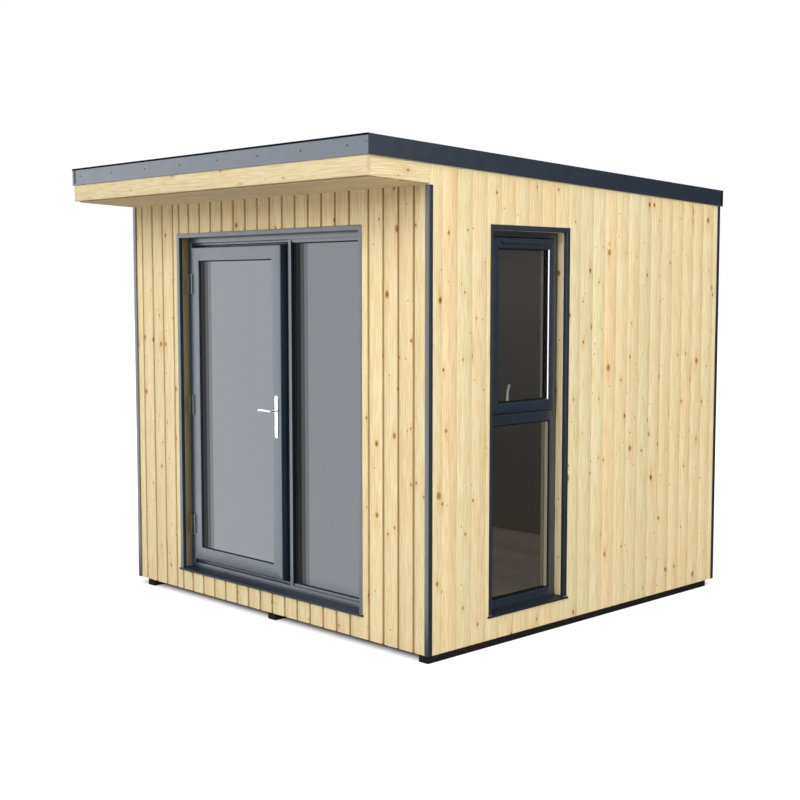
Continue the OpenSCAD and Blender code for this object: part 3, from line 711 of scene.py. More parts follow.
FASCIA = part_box("fascia_front")
FASCIA_T = 0.020
FASCIA_FOOT = roof_z(FASCIA[1].y) - FASCIA[0].z
FASCIA_EDGE = 0.0025                 # its eased edges
FASCIA_GAP = 0.0005                  # at the ends of the side boards
fascia_face = block(FASCIA[0].y, FASCIA[1].y, TRIM_H, FASCIA_FOOT, FASCIA_EDGE)
piece("fascia_board_front", [sloped(fascia_face, FASCIA[0].x, FASCIA[1].x)], PINE_X,
      replaces=["fascia_front"], board=[0.31])
fascia_side_parts = []
for way in (-1, 1):
    outline = block(way * (FASCIA[1].x - FASCIA_T), way * FASCIA[1].x, TRIM_H, FASCIA_FOOT, FASCIA_EDGE)
    fascia_side_parts.append(follow(outline, FASCIA[1].y + FASCIA_GAP, FACE_FRONT - FASCIA_GAP))
piece("fascia_boards_side", fascia_side_parts, PINE_Y, replaces=["fascia_sides"],
      board=[0.62, 0.87])

# ---------------------------------------------------------------- roof edge
SHEET = 0.002                        # sheet of the roof trim
FACE_IN = 0.0012                     # its face behind the roof's outline, where the screws stand
TOP_IN = 0.0005                      # its top under the roof's top
HEM = 0.010                          # height of its folded hem
HEM_OUT = 0.0008                     # how far the hem stands out from the face
CORNER_W = 0.031                     # from the roof's corner to the joint beside it
JOINT_W = 0.010                      # the dark strip in that joint
JOINT_OUT = 0.0004                   # how far it stands out from the face
SIDE_END = 0.0035                    # a side trim ends this far inside the front and back ones
ROLL_H = 0.010                       # the dark strip that edges the roof over the front trim


def edge_outline(out, way):
    """The folded trim, (across, drop): a leaf on top, a bend, a leaf down and a folded hem."""
    insets = (TRIM_LIP, FACE_IN, FACE_IN - HEM_OUT, FACE_IN + SHEET)
    lip, face, hem, back = (out - way * inset for inset in insets)
    a = [(lip, SHEET + TOP_IN), (lip, TOP_IN), (face, TOP_IN), (face, TRIM_H - HEM),
         (hem, TRIM_H - HEM + 0.001), (hem, TRIM_H), (back, TRIM_H), (back, SHEET + TOP_IN)]
    return soften(a, [0.0005, 0.0005, 0.003, 0.001, 0.001, 0.0008, 0.0008, 0.002], 4)


piece("roof_trim_front_sheet", [sloped(edge_outline(ROOF_FRONT, -1), -ROOF_X + CORNER_W, ROOF_X - FACE_IN)],
      EDGE_METAL, replaces=["roof_trim_front"])
piece("roof_trim_back_sheet", [sloped(edge_outline(ROOF_BACK, 1), -ROOF_X + FACE_IN, ROOF_X - CORNER_W)],
      EDGE_METAL, replaces=["roof_trim_back"])
side_trims = [follow(edge_outline(way * ROOF_X, way), ROOF_FRONT + SIDE_END, ROOF_BACK - SIDE_END)
              for way in (-1, 1)]
piece("roof_trim_side_sheets", side_trims,
      EDGE_METAL, replaces=["roof_trim_sides"])

corner_parts = []
joint_parts = []
for way, end_y in ((-1, ROOF_FRONT), (1, ROOF_BACK)):
    x = way * (ROOF_X - FACE_IN)
    y = end_y - way * FACE_IN
    leaf = CORNER_W - FACE_IN - JOINT_W
    plan = soften([(x - way * leaf, y), (x, y), (x, y - way * leaf), (x - way * SHEET, y - way * leaf),
                   (x - way * SHEET, y - way * SHEET), (x - way * leaf, y - way * SHEET)],
                  [0.0003, 0.002, 0.0003, 0.0003, 0.001, 0.0003])
    corner_parts.append(carried(2, plan, roof_z(plan[:, 1]) - TRIM_H + 0.001, roof_z(plan[:, 1]) - 0.001))
    low_x, high_x = (way * (ROOF_X - CORNER_W) + half * JOINT_W / 2 for half in (-1, 1))
    out_y, in_y = y + way * JOINT_OUT, y - way * 0.003
    strip = np.array([(low_x, out_y), (high_x, out_y), (high_x, in_y), (low_x, in_y)])
    joint_parts.append(carried(2, strip, roof_z(strip[:, 1]) - TRIM_H + 0.001, roof_z(strip[:, 1]) - 0.002))
piece("roof_trim_corners", corner_parts, EDGE_METAL)
piece("roof_trim_joints", joint_parts, EDGE_DARK)

roll = [(ROOF_FRONT, HAIR), (ROOF_FRONT + 0.006, HAIR), (ROOF_FRONT + 0.006, 0.0008),
        (ROOF_FRONT + 0.0011, 0.0008), (ROOF_FRONT + 0.0011, ROLL_H), (ROOF_FRONT, ROLL_H)]
piece("roof_edge_strip", [sloped(soften(roll, 0.0004, 2), -ROOF_X + HAIR, ROOF_X - HAIR)],
      EDGE_DARK)

SCREW_X = np.linspace(-1.173, 1.128, 8)
SCREW_DROP = 0.047                   # under the roof's top
SCREW_R = 0.0048
CORNER_SCREW_IN = 0.015
CORNER_SCREW_DROP = 0.038
CORNER_SCREW_H = 0.0008
heads = []
for x in SCREW_X:
    heads.append(screw((x, ROOF_FRONT + FACE_IN, ROOF_HIGH - SCREW_DROP), (0, -1, 0), SCREW_R))
    heads.append(screw((x, ROOF_BACK - FACE_IN, float(roof_z(ROOF_BACK)) - SCREW_DROP), (0, 1, 0), SCREW_R))
for way in (-1, 1):
    corner = (way * (ROOF_X - CORNER_SCREW_IN), ROOF_FRONT + CORNER_SCREW_H, ROOF_HIGH - CORNER_SCREW_DROP)
    heads.append(screw(corner, (0, -1, 0), height=CORNER_SCREW_H))
piece("roof_trim_screws", heads, SCREW)

# ---------------------------------------------------------------- corner angles
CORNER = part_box("corner_trims")
corner_tops = {-1: FRONT_TOP, 1: float(roof_z(FACE_BACK + ANGLE_T)) - SIDE_DROP}
angle_parts = []
for way_x in (-1, 1):
    for way_y, end_y in ((-1, CORNER[0].y), (1, CORNER[1].y)):
        x = way_x * CORNER[1].x
        leaf = TRIM_LEAF + ANGLE_T
        plan = soften([(x, end_y), (x, end_y - way_y * leaf), (x - way_x * ANGLE_T, end_y - way_y * leaf),
                       (x - way_x * ANGLE_T, end_y - way_y * ANGLE_T),
                       (x - way_x * leaf, end_y - way_y * ANGLE_T),
                       (x - way_x * leaf, end_y)], [0.002, 0.0004, 0.0004, 0.001, 0.0004, 0.0004])
        angle_parts.append(carried(2, plan, CORNER[0].z, corner_tops[way_y]))
piece("corner_angles", angle_parts, EDGE_METAL, replaces=["corner_trims"])


# ---------------------------------------------------------------- openings
def trim_round(name, node, trim_u, place, z0):
    """The folded trim round an opening: a leaf on the boards and a return into the reveal."""
    leaf = TRIM_LEAF
    outline = soften([(0, -ANGLE_T), (leaf, -ANGLE_T), (leaf, CLAD_T), (leaf - ANGLE_T, CLAD_T),
                      (leaf - ANGLE_T, -0.0001), (0, -0.0001)],
                     [0.0006, 0.0018, 0.0005, 0.0005, 0.0005, 0.0005])
    rect = (trim_u[0] - leaf, trim_u[1] + leaf, z0, OPENING_TOP + leaf)
    return piece(name, ring(rect, outline, place, sides="lrt"), EDGE_METAL, replaces=[node])


def lining_round(name, node, trim_u, place, finish):
    """Timber lining boards in the reveal, behind the folded trim."""
    outline = block(0, LINING_T, CLAD_T, FRAME_D, 0.001)
    rect = (trim_u[0] - LINING_T, trim_u[1] + LINING_T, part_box(node)[0].z, OPENING_TOP + LINING_T)
    return piece(name, ring(rect, outline, place, sides="lrt"), finish, replaces=[node],
                 board=[0.11, 0.47, 0.73])


SILL_BACK = SILL[1].z
SILL_NOSE = FACE_FRONT - SILL[0].y
SILL_FALL = 0.008
SILL_HORN = 0.032                    # past each side of the opening


def sill_z(d):
    """Height of a sill's top at depth d: a straight fall to its front edge."""
    return SILL_BACK - SILL_FALL * (FRAME_D - d) / (FRAME_D + SILL_NOSE)


def sill_board(name, node, trim_u, place):
    """A pressed sill: a nose with a rounded edge and horns past the opening, and its back part."""
    nose = soften([(-SILL_NOSE, SILL_FOOT), (-HAIR, SILL_FOOT), (-HAIR, sill_z(0)),
                   (-SILL_NOSE, sill_z(-SILL_NOSE))], [0.0015, 0.0005, 0.0005, 0.003], 4)
    throat = [(0, SILL_FOOT), (CLAD_T, SILL_FOOT), (CLAD_T, sill_z(CLAD_T)), (0, sill_z(0))]
    back = [(CLAD_T, SILL_FOOT), (FRAME_D, SILL_FOOT), (FRAME_D, sill_z(FRAME_D)), (CLAD_T, sill_z(CLAD_T))]
    parts = [bar(outline, place, trim_u[0] - past, trim_u[1] + past, across=True)
             for outline, past in ((nose, SILL_HORN), (throat, ANGLE_T), (back, LINING_T))]
    return piece(name, parts, SILL_METAL, replaces=[node])


# The door's lining takes the pine with painted shade
for which, trim_u, place, timber in (("door", DOOR_U, on_front, PINE_REVEAL_SHADED),
                                     ("window", WINDOW_U, on_right, PINE_UP)):
    trim_round(which + "_trim_angle", which + "_trim", trim_u, place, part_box(which + "_trim")[0].z)
    lining_round(which + "_lining_boards", which + "_lining", trim_u, place, timber)
    sill_board(which + "_sill_pressing", which + "_sill", trim_u, place)


# ---------------------------------------------------------------- frames
def frame_profile():
    """A fixed frame member, (inset, d), with an eased nose."""
    return block(0, NOSE + LINING_T, FRAME_D, INNER_D, [0.0005, 0.003, 0.001, 0.001])


GLASS_BITE = 0.010                   # how far a member holds the glass unit
GLASS_PLAY = 0.0005                  # room on each face of the unit


def glazed_profile(width, front, back, outer=0.008, inner=0.006):
    """A glazed member, (inset, d): a flat face with rounded edges, a square drop to the glass, a
    groove for the glass unit and a slope on the inside."""
    outside = front + GLASS_RECESS - GLASS_PLAY
    inside = front + GLASS_RECESS + UNIT_T + GLASS_PLAY
    a = [(0, front), (width, front), (width, outside), (width - GLASS_BITE, outside),
         (width - GLASS_BITE, inside), (width, inside), (width - 0.002, inside + 0.0035),
         (width - 0.014, back), (0, back)]
    return soften(a, [outer, inner, 0.0003, 0.0003, 0.0003, 0.0003, 0.002, 0.004, 0.003], 4)


def gasket_profile(member, glass, way):
    """A wedge seal, (inset, d), from the member onto the glass; way is −1 outside and 1 inside."""
    wedge = [(member - 0.0018, glass), (member + 0.0070, glass), (member + 0.0055, glass + way * 0.0018),
             (member - 0.0018, glass + way * 0.0036)]
    return soften(wedge, 0.0006, 2)


def seals_and_spacer(name, rect, member, front, place, body="building"):
    """A glass unit's wedge seals on both faces, and its spacer, which shows past the member."""
    outside = front + GLASS_RECESS
    inside = outside + UNIT_T
    parts = ring(rect, gasket_profile(member, outside, -1), place)
    parts += ring(rect, gasket_profile(member, inside, 1), place)
    piece(name + "_gaskets", parts, SEAL, body=body)
    spacer = block(member - 0.008, member + 0.004, outside + PANE_T, inside - PANE_T, 0.0006, 2)
    piece(name + "_spacer", ring(rect, spacer, place), SPACER_DARK, body=body)


leaf_rect = (LEAF[0].x, LEAF[1].x, LEAF[0].z, LEAF[1].z)
side_rect = (BEAD_BOX[0].x, BEAD_BOX[1].x, BEAD_BOX[0].z, BEAD_BOX[1].z)
STEP_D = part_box("door_threshold")[0].y - FACE_FRONT + 0.018     # where the rebate steps back
STOP_D = INNER_D - 0.015                                        # where its stop starts
REBATE = 0.024                       # from the leaf's edge out to the rebate's root
REBATE_STEP = 0.014                  # inset of the step
REBATE_STOP = 0.039                  # inset of the stop
THRESHOLD_TOP = side_rect[2]


def frame_rect(opening):
    """The outline of a frame that fills an opening's width and reaches behind its lining."""
    return (opening[0] - LINING_T, opening[1] + LINING_T, THRESHOLD_TOP - NOSE - LINING_T,
            OPENING_TOP + LINING_T)


piece("door_frame_members", ring(frame_rect(DOOR_U), frame_profile(), on_front), PLASTIC,
      replaces=["door_jamb_left", "door_jamb_right", "door_head", "door_threshold"])
rebate_rect = (leaf_rect[0] - REBATE, leaf_rect[1] + REBATE, leaf_rect[2] - REBATE, leaf_rect[3] + REBATE)
rebate = soften([(0, STEP_D), (REBATE_STEP, STEP_D), (REBATE_STEP, STOP_D), (REBATE_STOP, STOP_D),
                 (REBATE_STOP, INNER_D), (0, INNER_D)], [0.0005, 0.002, 0.0005, 0.002, 0.002, 0.0005])
piece("door_rebate", ring(rebate_rect, rebate, on_front), PLASTIC)
seal_bulb = block(0.0125, 0.0165, STEP_D - 0.0032, STEP_D + 0.0005, 0.0015)
piece("door_frame_seal", ring(rebate_rect, seal_bulb, on_front), SEAL)
MULLION_NOSE = 0.026                 # width of its front
mull_left, mull_nose, mull_right = leaf_rect[1] + REBATE, MULLION[1].x - MULLION_NOSE, MULLION[1].x
mullion = soften([(mull_right, FRAME_D), (mull_nose, FRAME_D), (mull_nose, STEP_D), (mull_left, STEP_D),
                  (mull_left, INNER_D), (mull_right, INNER_D)], [0.001, 0.003, 0.0005, 0.001, 0.0005, 0.001])
piece("door_mullion_bar", [bar(mullion, on_front, side_rect[2], side_rect[3])], PLASTIC,
      replaces=["door_mullion"])
bead = glazed_profile(BEAD, FRAME_D, INNER_D, outer=0.0003, inner=0.003)
beads = ring(side_rect, bead, on_front)      # the first one stands against the mullion
piece("sidelight_bead_bars", beads[1:], PLASTIC, replaces=["sidelight_bead"])
# Painted shade: the bead against the mullion takes the near-black, unreflecting dark finish
piece("sidelight_bead_in_painted_shade", beads[:1], EDGE_DARK)
seals_and_spacer("sidelight", side_rect, BEAD, FRAME_D, on_front)

piece("door_leaf_members", ring(leaf_rect, glazed_profile(STILE, *LEAF_D), on_front), PLASTIC,
      body="door", replaces=["door_leaf"])
seals_and_spacer("door_leaf", leaf_rect, STILE, LEAF_D[0], on_front, body="door")
leaf_seal = block(0.004, 0.010, LEAF_D[1] - 0.001, LEAF_D[1] + 0.004, 0.002)
piece("door_leaf_seal", ring(leaf_rect, leaf_seal, on_front), SEAL, body="door")

# Window: a frame, a transom, a casement over it and a bead round the fixed pane under it
nose_u = (WINDOW_U[0] + NOSE, WINDOW_U[1] - NOSE)
CASE_GAP = 0.005                     # round the casement
STOP_REACH = 0.015                   # its stop behind it
TRANSOM_TOP = CASEMENT[0].z - CASE_GAP
TRANSOM_H = 0.038
case_rect = (CASEMENT[0].y, CASEMENT[1].y, CASEMENT[0].z, CASEMENT[1].z)
low_rect = (nose_u[0], nose_u[1], THRESHOLD_TOP, TRANSOM_TOP - TRANSOM_H)
transom = block(FRAME_D, INNER_D, TRANSOM_TOP, TRANSOM_TOP - TRANSOM_H, 0.002)
case_stop = block(-CASE_GAP, STOP_REACH, STOP_D, INNER_D, 0.0015)
window_parts = ring(frame_rect(WINDOW_U), frame_profile(), on_right)
window_parts.append(bar(transom, on_right, nose_u[0], nose_u[1], across=True))
window_parts += ring(case_rect, case_stop, on_right)
window_parts += ring(low_rect, bead, on_right)
piece("window_frame_members", window_parts, PLASTIC, replaces=["window_frame"])
piece("casement_members", ring(case_rect, glazed_profile(CASE_STILE, *CASE_D), on_right), PLASTIC,
      replaces=["casement"])
seals_and_spacer("casement", case_rect, CASE_STILE, CASE_D[0], on_right)
seals_and_spacer("lower_pane", low_rect, BEAD, FRAME_D, on_right)


def side_strip(name, rect, member, d0, d1, proud, finish):
    """A thin strip on the pane-side face of a window's back member, from d0 to d1 behind the face."""
    edge = rect[1] - member
    gap = member + 0.002
    outline = block(edge - proud, edge + 0.0005, d0, d1, 0.0004, 2)
    piece(name, [bar(outline, on_right, rect[2] + gap, rect[3] - gap)], finish)


case_glass = CASE_D[0] + GLASS_RECESS
low_glass = FRAME_D + GLASS_RECESS
for name, rect, member, d0, d1, proud, finish in (
    # A glowing white strip: a painted highlight on the casement's side
    ("casement_white_seal", case_rect, CASE_STILE, CASE_D[0] + 0.0015, case_glass - 0.001, 0.001, PAINTED_HIGHLIGHT_STRIP),
    # A glowing grey strip: painted light
    ("casement_inner_strip", case_rect, CASE_STILE, case_glass + UNIT_T + 0.001, CASE_D[1] - 0.004, 0.001,
     GREY_STRIP_GLOWING),
    # A glowing tan strip: painted light
    ("lower_pane_strip", low_rect, BEAD, low_glass + 0.0015, INNER_D - 0.002, 0.005, TAN_STRIP_GLOWING),
):
    side_strip(name, rect, member, d0, d1, proud, finish)

# ---------------------------------------------------------------- trickle vent
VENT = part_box("trickle_vent")
vent_u, vent_z = ((a + b) / 2 for a, b in ((VENT[0].y, VENT[1].y), (VENT[0].z, VENT[1].z)))
vent_half_h = (VENT[1].z - VENT[0].z) / 2
vent_half_t = (VENT[1].x - VENT[0].x) / 2
vent_d = FACE_RIGHT - VENT[0].x - vent_half_t
run = np.linspace(-1, 1, 25)[:, None]
turn = np.linspace(0, 2 * np.pi, 20, endpoint=False)


def squared(wave):
    """A sine or cosine drawn towards a square: the root of its size, with its own sign."""
    return np.sign(wave) * np.abs(wave) ** 0.5


# a squared tube along u whose height and half its depth shrink to a rounded end
vent_end = np.sqrt(np.clip(1 - np.clip((np.abs(run) - 0.955) / 0.045, 0, 0.985) ** 2, 0, 1))
vent_rings = on_right(vent_u + run * (VENT[1].y - VENT[0].y) / 2 + 0 * turn,
                      vent_d + vent_half_t * squared(np.cos(turn)) * (0.5 + 0.5 * vent_end),
                      vent_z + vent_half_h * squared(np.sin(turn)) * vent_end)
piece("trickle_vent_canopy", [skin(vent_rings)], PLASTIC, replaces=["trickle_vent"])

# ---------------------------------------------------------------- hinges
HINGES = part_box("hinge_frame_halves")
HINGE_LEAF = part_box("hinge_leaf_halves")
HINGE_H = 0.115                      # both halves of one hinge
HINGE_PLAY = 0.001                   # between them
KNUCKLE_R = 0.0075
HINGE_X = LEAF[0].x - 0.0025         # its pin
HINGE_D = LEAF_D[0] - KNUCKLE_R - 0.005
COVER_W = 0.017                      # cover plate on the leaf
COVER_T = 0.0048
STRAP_T = 0.007                      # strap under it
WEB_T = 0.004                        # the hinge's leaf on the frame
hinge_z = np.linspace(HINGES[0].z, HINGE_LEAF[1].z - HINGE_H, 3)
half = (HINGE_H - HINGE_PLAY) / 2


def knuckle(z0, z1, open_end):
    """A hinge barrel from z0 to z1, domed at its open end, −1 below or 1 above, eased at the other."""
    dome = [(0, 0.35), (0.001, 0.7), (0.003, 0.95), (0.005, 1.0)]
    eased = [(0, 1 - 0.0006 / KNUCKLE_R), (0.0006, 1.0)]
    low, high = (dome, eased) if open_end < 0 else (eased, dome)
    profile = [(z0 + at, share * KNUCKLE_R) for at, share in low]
    profile += [(z1 - at, share * KNUCKLE_R) for at, share in reversed(high)]
    return turned(profile, (HINGE_X, FACE_FRONT + HINGE_D, 0), (0, 0, 1), 24)


frame_parts, leaf_parts, covers = [], [], []
web_face = FRAME_D - WEB_T
web = soften([(HINGE_X - 0.0065, HINGE_D), (HINGE_X - 0.0005, HINGE_D), (HINGE_X - 0.0030, web_face),
              (LEAF[0].x - 0.006, web_face), (LEAF[0].x - 0.006, FRAME_D), (DOOR_U[0] + 0.012, FRAME_D),
              (DOOR_U[0] + 0.012, web_face), (HINGE_X - 0.0110, web_face)], 0.0008)
strap = block(HINGE_X, LEAF[0].x + 0.006, LEAF_D[0] - STRAP_T, LEAF_D[0], 0.002)
cover = block(LEAF[0].x + 0.0005, LEAF[0].x + COVER_W, LEAF_D[0] - COVER_T, LEAF_D[0],
              [0.001, 0.004, 0.0005, 0.0005], 5)
for z in hinge_z:
    top = z + HINGE_H
    frame_parts += [knuckle(z, z + half, -1), bar(web, on_front, z + 0.002, z + half - 0.001)]
    leaf_parts += [knuckle(top - half, top, 1), bar(strap, on_front, top - half, top - 0.001)]
    covers.append(bar(cover, on_front, z + 0.0005, top - 0.0005))
piece("hinge_frame_leaves", frame_parts, HINGE_PAINTED_SHADE, replaces=["hinge_frame_halves"])
piece("hinge_door_leaves", leaf_parts, HINGE_PAINTED_SHADE, body="door", replaces=["hinge_leaf_halves"])
piece("hinge_cover_plates", covers, HINGE, body="door")

# ---------------------------------------------------------------- door handle
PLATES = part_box("handle_plates")
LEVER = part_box("lever_handle")
SPINDLE_Z = 1.145
SPINDLE_X = (PLATES[0].x + PLATES[1].x) / 2
KEY_Z = SPINDLE_Z - 0.092            # the key cylinder under the lever
PLATE_T = LEAF_D[0] - (PLATES[0].y - FACE_FRONT)
PLATE_SCREW_IN = 0.016               # from the plate's ends
LEVER_REACH = LEAF_D[0] - (LEVER[0].y - FACE_FRONT) - 0.009


def plate_shell(face, way):
    """A backplate with a crowned face: outlines that draw in as they rise.

    An outline is a bar with round ends, x = w·|cos a|^0.75 and z = w·sin a past the straight
    part. Each level gives its share of the thickness and how far the outline is drawn in there.
    """
    mid_z = (PLATES[0].z + PLATES[1].z) / 2
    half_w = (PLATES[1].x - PLATES[0].x) / 2
    half_h = (PLATES[1].z - PLATES[0].z) / 2
    levels = [(0, 0), (0.35, 0.0006), (0.62, 0.0025), (0.82, 0.0055), (0.95, 0.0095), (1.0, 0.0130)]
    rings = []
    turn = np.linspace(0, 2 * np.pi, 48, endpoint=False)
    c, s = np.cos(turn), np.sin(turn)
    for share, draw in levels:
        w = half_w - draw
        x = np.sign(c) * np.abs(c) ** 0.75 * w
        z = s * w + np.sign(s) * (half_h - half_w)
        rings.append(on_front(SPINDLE_X + x, face + way * share * PLATE_T, mid_z + z))
    return skin(np.array(rings))


def cylinder_lock(face, way):
    """The key cylinder under the lever: a round plug proud of the plate with a domed rim."""
    plug = [(0, 0.0085), (0.0016, 0.0085), (0.0022, 0.0078), (0.0022, 0.0066), (0.0016, 0.0060),
            (0.0016, 0.001)]
    return turned(plug, (SPINDLE_X, FACE_FRONT + face, KEY_Z), (0, way, 0), 28)


def lever_shell(foot, grip):
    """The lever: a round neck from the rose, a bend, and a grip that flattens and curls at its tip.

    Its points are the way across, the share of the reach out to the grip, and the rise.
    """
    points = [(0, 0, 0), (0, 0.5, 0), (-0.001, 0.86, 0), (-0.012, 1.0, 0.0004), (-0.035, 1.0, 0.0015),
              (-0.070, 0.98, 0.0020), (-0.098, 0.95, 0.0005), (-0.107, 0.93, -0.0010)]
    across, share, rise = np.array(points).T
    path = curve_through(np.column_stack([SPINDLE_X + across, FACE_FRONT + foot + (grip - foot) * share,
                                          SPINDLE_Z + rise]), 56)
    t = np.linspace(0, 1, len(path))
    tip = round_tip(t, 0.93)
    thin = np.interp(t, [0, 0.3, 0.45, 0.8, 1], [0.0072, 0.0066, 0.0056, 0.0042, 0.0038])
    tall = np.interp(t, [0, 0.3, 0.45, 0.8, 1], [0.0072, 0.0064, 0.0058, 0.0060, 0.0052])
    return swept(path, thin * tip, tall * tip, (0, 0, 1.0), 20)


def rose(face, way):
    """The collar at the lever's foot."""
    return turned([(-0.0005, 0.0128), (0.0022, 0.0128), (0.0034, 0.0118), (0.0038, 0.0102), (0.0038, 0.0088)],
                  (SPINDLE_X, FACE_FRONT + face, SPINDLE_Z), (0, way, 0), 32)


plates, levers, slots = [], [], []
for face, way in ((LEAF_D[0], -1), (LEAF_D[1], 1)):
    top = face + way * PLATE_T
    plates += [plate_shell(face, way), cylinder_lock(top - way * 0.0006, way), rose(top - way * 0.0004, way)]
    for z in (PLATES[0].z + PLATE_SCREW_IN, PLATES[1].z - PLATE_SCREW_IN):
        plates.append(screw((SPINDLE_X, FACE_FRONT + top - way * HAIR, z), (0, way, 0), 0.0036, 0.0010))
    levers.append(lever_shell(face + way * 0.0005, face + way * LEVER_REACH))
    # Painted shade: a thin dark strip on the cylinder's face stands for the shade inside the keyhole
    key_slot = block(SPINDLE_X - 0.0009, SPINDLE_X + 0.0009, top + way * 0.0012, top + way * 0.0018, 0.0002)
    slots.append(bar(key_slot, on_front, KEY_Z - 0.0042, KEY_Z + 0.0042))
piece("handle_backplates", plates, CHROME, body="door", replaces=["handle_plates"])
piece("handle_key_slots", slots, KEYHOLE_SHADE_FINISH, body="door")
piece("handle_levers", levers, CHROME, body="lever", replaces=["lever_handle"])

# ---------------------------------------------------------------- window handle
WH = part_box("window_handle")
wh_u = (WH[0].y + WH[1].y) / 2
wh_d = CASE_D[1]
wh_grip = FACE_RIGHT - WH[0].x - 0.007
wh_z = WH[0].z + 0.014
base_face = block(wh_u - 0.012, wh_u + 0.012, wh_d, wh_d + 0.011, 0.004)
depths = np.array([wh_d + 0.008, wh_d + 0.026, wh_grip - 0.006, wh_grip, wh_grip - 0.002, wh_grip - 0.008,
                   wh_grip - 0.014])
rises = np.array([0, 0, 0.006, 0.030, 0.060, 0.090, 0.106])
grip_path = curve_through(on_right(wh_u, depths, wh_z + rises), 44)
grip_t = np.linspace(0, 1, len(grip_path))
grip_w, grip_h = (np.interp(grip_t, [0, 0.4, 1], sizes) * round_tip(grip_t, 0.93)
                  for sizes in ([0.0065, 0.0075, 0.0085], [0.0065, 0.0055, 0.0045]))
# The window handle's finish glows: painted light
piece("window_handle_set", [
    bar(base_face, on_right, WH[0].z + 0.001, WH[0].z + 0.030),
    swept(grip_path, grip_w, grip_h, (-1.0, 0, 0.2), 18),
], HANDLE_SATIN_GLOWING, replaces=["window_handle"])

# ---------------------------------------------------------------- floor and base
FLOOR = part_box("floor_boards")
FLOOR_PLANKS = 12
PLANK_GAP = 0.0003
plank_edges = np.linspace(FLOOR[0].y, FLOOR[1].y, FLOOR_PLANKS + 1)
planks = []
for y0, y1 in zip(plank_edges[:-1], plank_edges[1:]):
    outline = block(y0 + PLANK_GAP, y1 - PLANK_GAP, FLOOR[0].z, FLOOR[1].z, [0.0002, 0.0002, 0.0015, 0.0015])
    planks.append(carried(0, outline, FLOOR[0].x, FLOOR[1].x))
piece("floor_planks", planks, PINE_FLOOR, replaces=["floor_boards"],
      board=rng.uniform(0, 1, len(planks)))

BEARERS = ("bearer_left", "bearer_middle", "bearer_right")
bearers = []
for low, high in map(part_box, BEARERS):
    bearers.append(carried(1, block(low.x, high.x, low.z, high.z, 0.003), low.y, high.y))
piece("ground_bearers", bearers, BEARER, replaces=BEARERS)

# ---------------------------------------------------------------- finishes of the frame's own parts
for names, finish in (
    (("left_wall", "back_wall", "front_wall_left", "front_wall_right", "front_wall_over_door",
      "right_wall_front", "right_wall_back", "right_wall_over_window"), LINING),
    (("floor_panel", "roof_panel"), PANEL),
    (("roof_membrane",), RUBBER),
    (("door_glass",), GLASS_DOOR),
    (("sidelight_glass",), GLASS_SIDELIGHT),
    (("casement_glass", "lower_glass"), GLASS_SIDE),
):
    for name in names:
        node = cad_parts[name]
        node.data.materials.clear()
        node.data.materials.append(finish)

# ---------------------------------------------------------------- studio
CAMERA_AT = (5.6078, -5.4723, 1.8095)
CAMERA_DOWN = 4.876                  # degrees
CAMERA_ROUND = 45.793
scene = bpy.context.scene
scene.view_settings.view_transform = "Standard"
camera = bpy.data.objects.new("camera", bpy.data.cameras.new("camera"))
camera.data.lens = 59.06
camera.data.sensor_width = 36
camera.location = CAMERA_AT
camera.rotation_euler = (math.radians(90 - CAMERA_DOWN), 0, math.radians(CAMERA_ROUND))
scene.collection.objects.link(camera)
scene.camera = camera

# What glossy surfaces mirror: a bright side to the front left that fades to a dim one
BRIGHT_SIDE = (-0.62, -0.78, 0.0)
BRIGHT = 2.2
DIM = 0.05
FADE = (0.05, 0.45)
CARD_TINT = (0.95, 0.975, 1.0)

# The floor: grey to the lights, white to the camera with a painted soft shade round the pod and
# a painted shadow under it, and the mirrored brightness to glossy surfaces
FLOOR_GREY = 0.52
FLOOR_HALF = 60.0
floor_mesh = bpy.data.meshes.new("studio_floor")
floor_corners = [(x * FLOOR_HALF, y * FLOOR_HALF, 0) for x, y in ((-1, -1), (1, -1), (1, 1), (-1, 1))]
floor_mesh.from_pydata(floor_corners, [], [(0, 1, 2, 3)])
studio = bpy.data.objects.new("studio_floor", floor_mesh)
pale = Finish("studio_floor", rough=0.9)
pale.set(pale.shader, "Specular IOR Level", 0.0)
far = pale.vector("LENGTH", pale.place, out=1)
ray = pale.tree.nodes.new("ShaderNodeLightPath").outputs
across, ahead, _ = pale.split(pale.place)
# Painted shadow: the floor stops glowing under the pod's footprint and glows less near it
inside_x = pale.less(CLAD_X, pale.math("ABSOLUTE", across))
inside_y = pale.math("ABSOLUTE", pale.less(ahead, (FACE_FRONT + FACE_BACK) / 2))
inside_y = pale.less((FACE_BACK - FACE_FRONT) / 2, inside_y)
under = pale.ease(pale.math("MINIMUM", inside_x, inside_y), -0.05, 0.10, 1.0, 0.0)
glow = pale.times(pale.ease(far, 2.2, 6.0, 0.66, 1.0), under)
toward = pale.vector("DOT_PRODUCT", pale.vector("NORMALIZE", pale.place), BRIGHT_SIDE, out=1)
by_wall = pale.ease(pale.less(FACE_FRONT, ahead), 0.15, 0.75, 0.10, 1.0)
card = pale.times(pale.ease(toward, *FADE, DIM, BRIGHT), by_wall)
glow = pale.plus(pale.times(glow, ray["Is Camera Ray"]), pale.times(card, ray["Is Glossy Ray"]))
pale.set(pale.shader, "Emission Strength", glow)
pale.set(pale.shader, "Emission Color", pale.mix(ray["Is Glossy Ray"], (1.0, 1.0, 1.0), CARD_TINT))
pale.colour(pale.mix(ray["Is Glossy Ray"], (FLOOR_GREY,) * 3, (0.0, 0.0, 0.0)))
floor_mesh.materials.append(pale.mat)
scene.collection.objects.link(studio)

world = bpy.data.worlds.new("studio")
scene.world = world
world.use_nodes = True
tree = world.node_tree


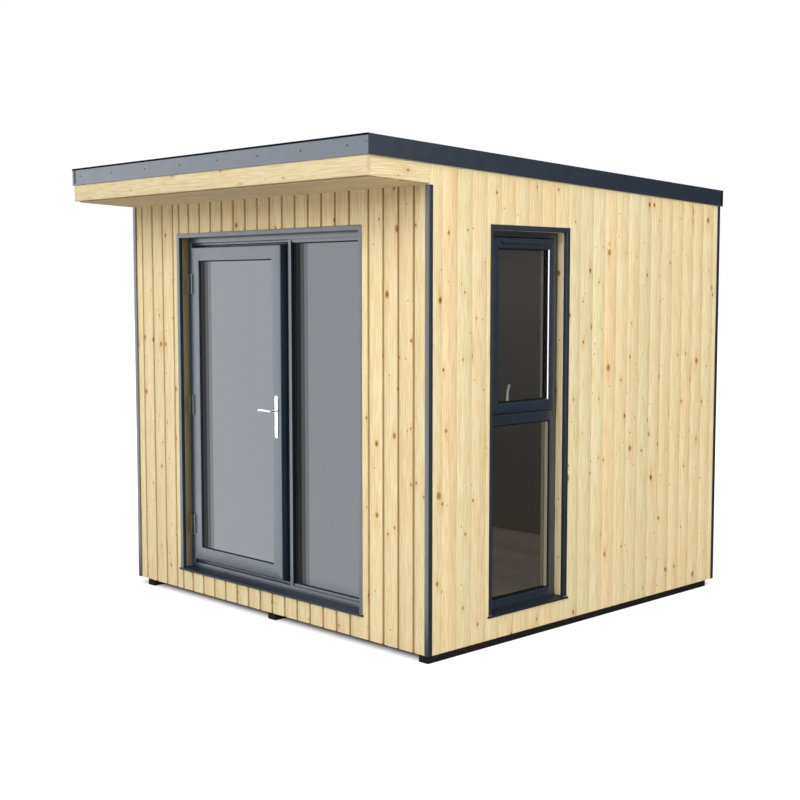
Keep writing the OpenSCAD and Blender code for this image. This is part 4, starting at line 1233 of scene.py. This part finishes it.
def backdrop(colour, strength):
    """A Background node."""
    made = tree.nodes.new("ShaderNodeBackground")
    made.inputs["Color"].default_value = (*colour, 1)
    made.inputs["Strength"].default_value = strength
    return made


def either(choice, first, second):
    """The first shader where choice is 0 and the second where it is 1."""
    made = tree.nodes.new("ShaderNodeMixShader")
    for socket, link in zip(made.inputs, (choice, first, second)):
        tree.links.new(link, socket)
    return made.outputs[0]


sky = backdrop((0.98, 0.99, 1.0), 0.43)
white = backdrop((1, 1, 1), 1.0)
mirrored = backdrop(CARD_TINT, BRIGHT)
path = tree.nodes.new("ShaderNodeLightPath").outputs
facing = tree.nodes.new("ShaderNodeVectorMath")
facing.operation = "DOT_PRODUCT"
tree.links.new(tree.nodes.new("ShaderNodeTexCoord").outputs["Generated"], facing.inputs[0])
facing.inputs[1].default_value = BRIGHT_SIDE
fade = tree.nodes.new("ShaderNodeMapRange")
fade.interpolation_type = "SMOOTHSTEP"
for i, value in enumerate((*FADE, DIM, BRIGHT), 1):
    fade.inputs[i].default_value = value
tree.links.new(facing.outputs["Value"], fade.inputs[0])
tree.links.new(fade.outputs[0], mirrored.inputs["Strength"])
shown = either(path["Is Glossy Ray"], sky.outputs[0], mirrored.outputs[0])
shown = either(path["Is Camera Ray"], shown, white.outputs[0])
tree.links.new(shown, tree.nodes["World Output"].inputs["Surface"])


def softbox(name, at, aim, width, height, power, colour=(1, 1, 1), mirrored=True):
    """A large rectangular light at one point, turned to face another; glossy surfaces may mirror it."""
    light = bpy.data.lights.new(name, "AREA")
    light.shape = "RECTANGLE"
    light.size, light.size_y = width, height
    light.energy = power
    light.color = colour
    made = bpy.data.objects.new(name, light)
    made.location = at
    x, y, z = np.array(aim, float) - np.array(at, float)
    made.rotation_euler = (math.atan2(math.hypot(x, y), -z), 0, math.atan2(y, x) - math.pi / 2)
    made.visible_camera = False
    made.visible_glossy = mirrored
    scene.collection.objects.link(made)


softbox("front_key", (1.9, -8.0, 5.7), (0, -1, 1.0), 8.0, 5.0, 555, mirrored=False)
softbox("right_key", (8.5, -0.4, 3.6), (1.2, 0.2, 0.8), 4.5, 4.0, 312, (1.0, 0.99, 0.97))
softbox("overhead_box", (1.0, -2.0, 8.0), (0, 0, 0), 9.0, 9.0, 150)
softbox("rear_fill", (-7.5, 6.5, 5.0), (0, 0, 0.9), 6.0, 5.0, 300, mirrored=False)
softbox("room_light", (0, 0.2, 2.2), (0, 0.2, 0), 1.8, 1.8, 7)
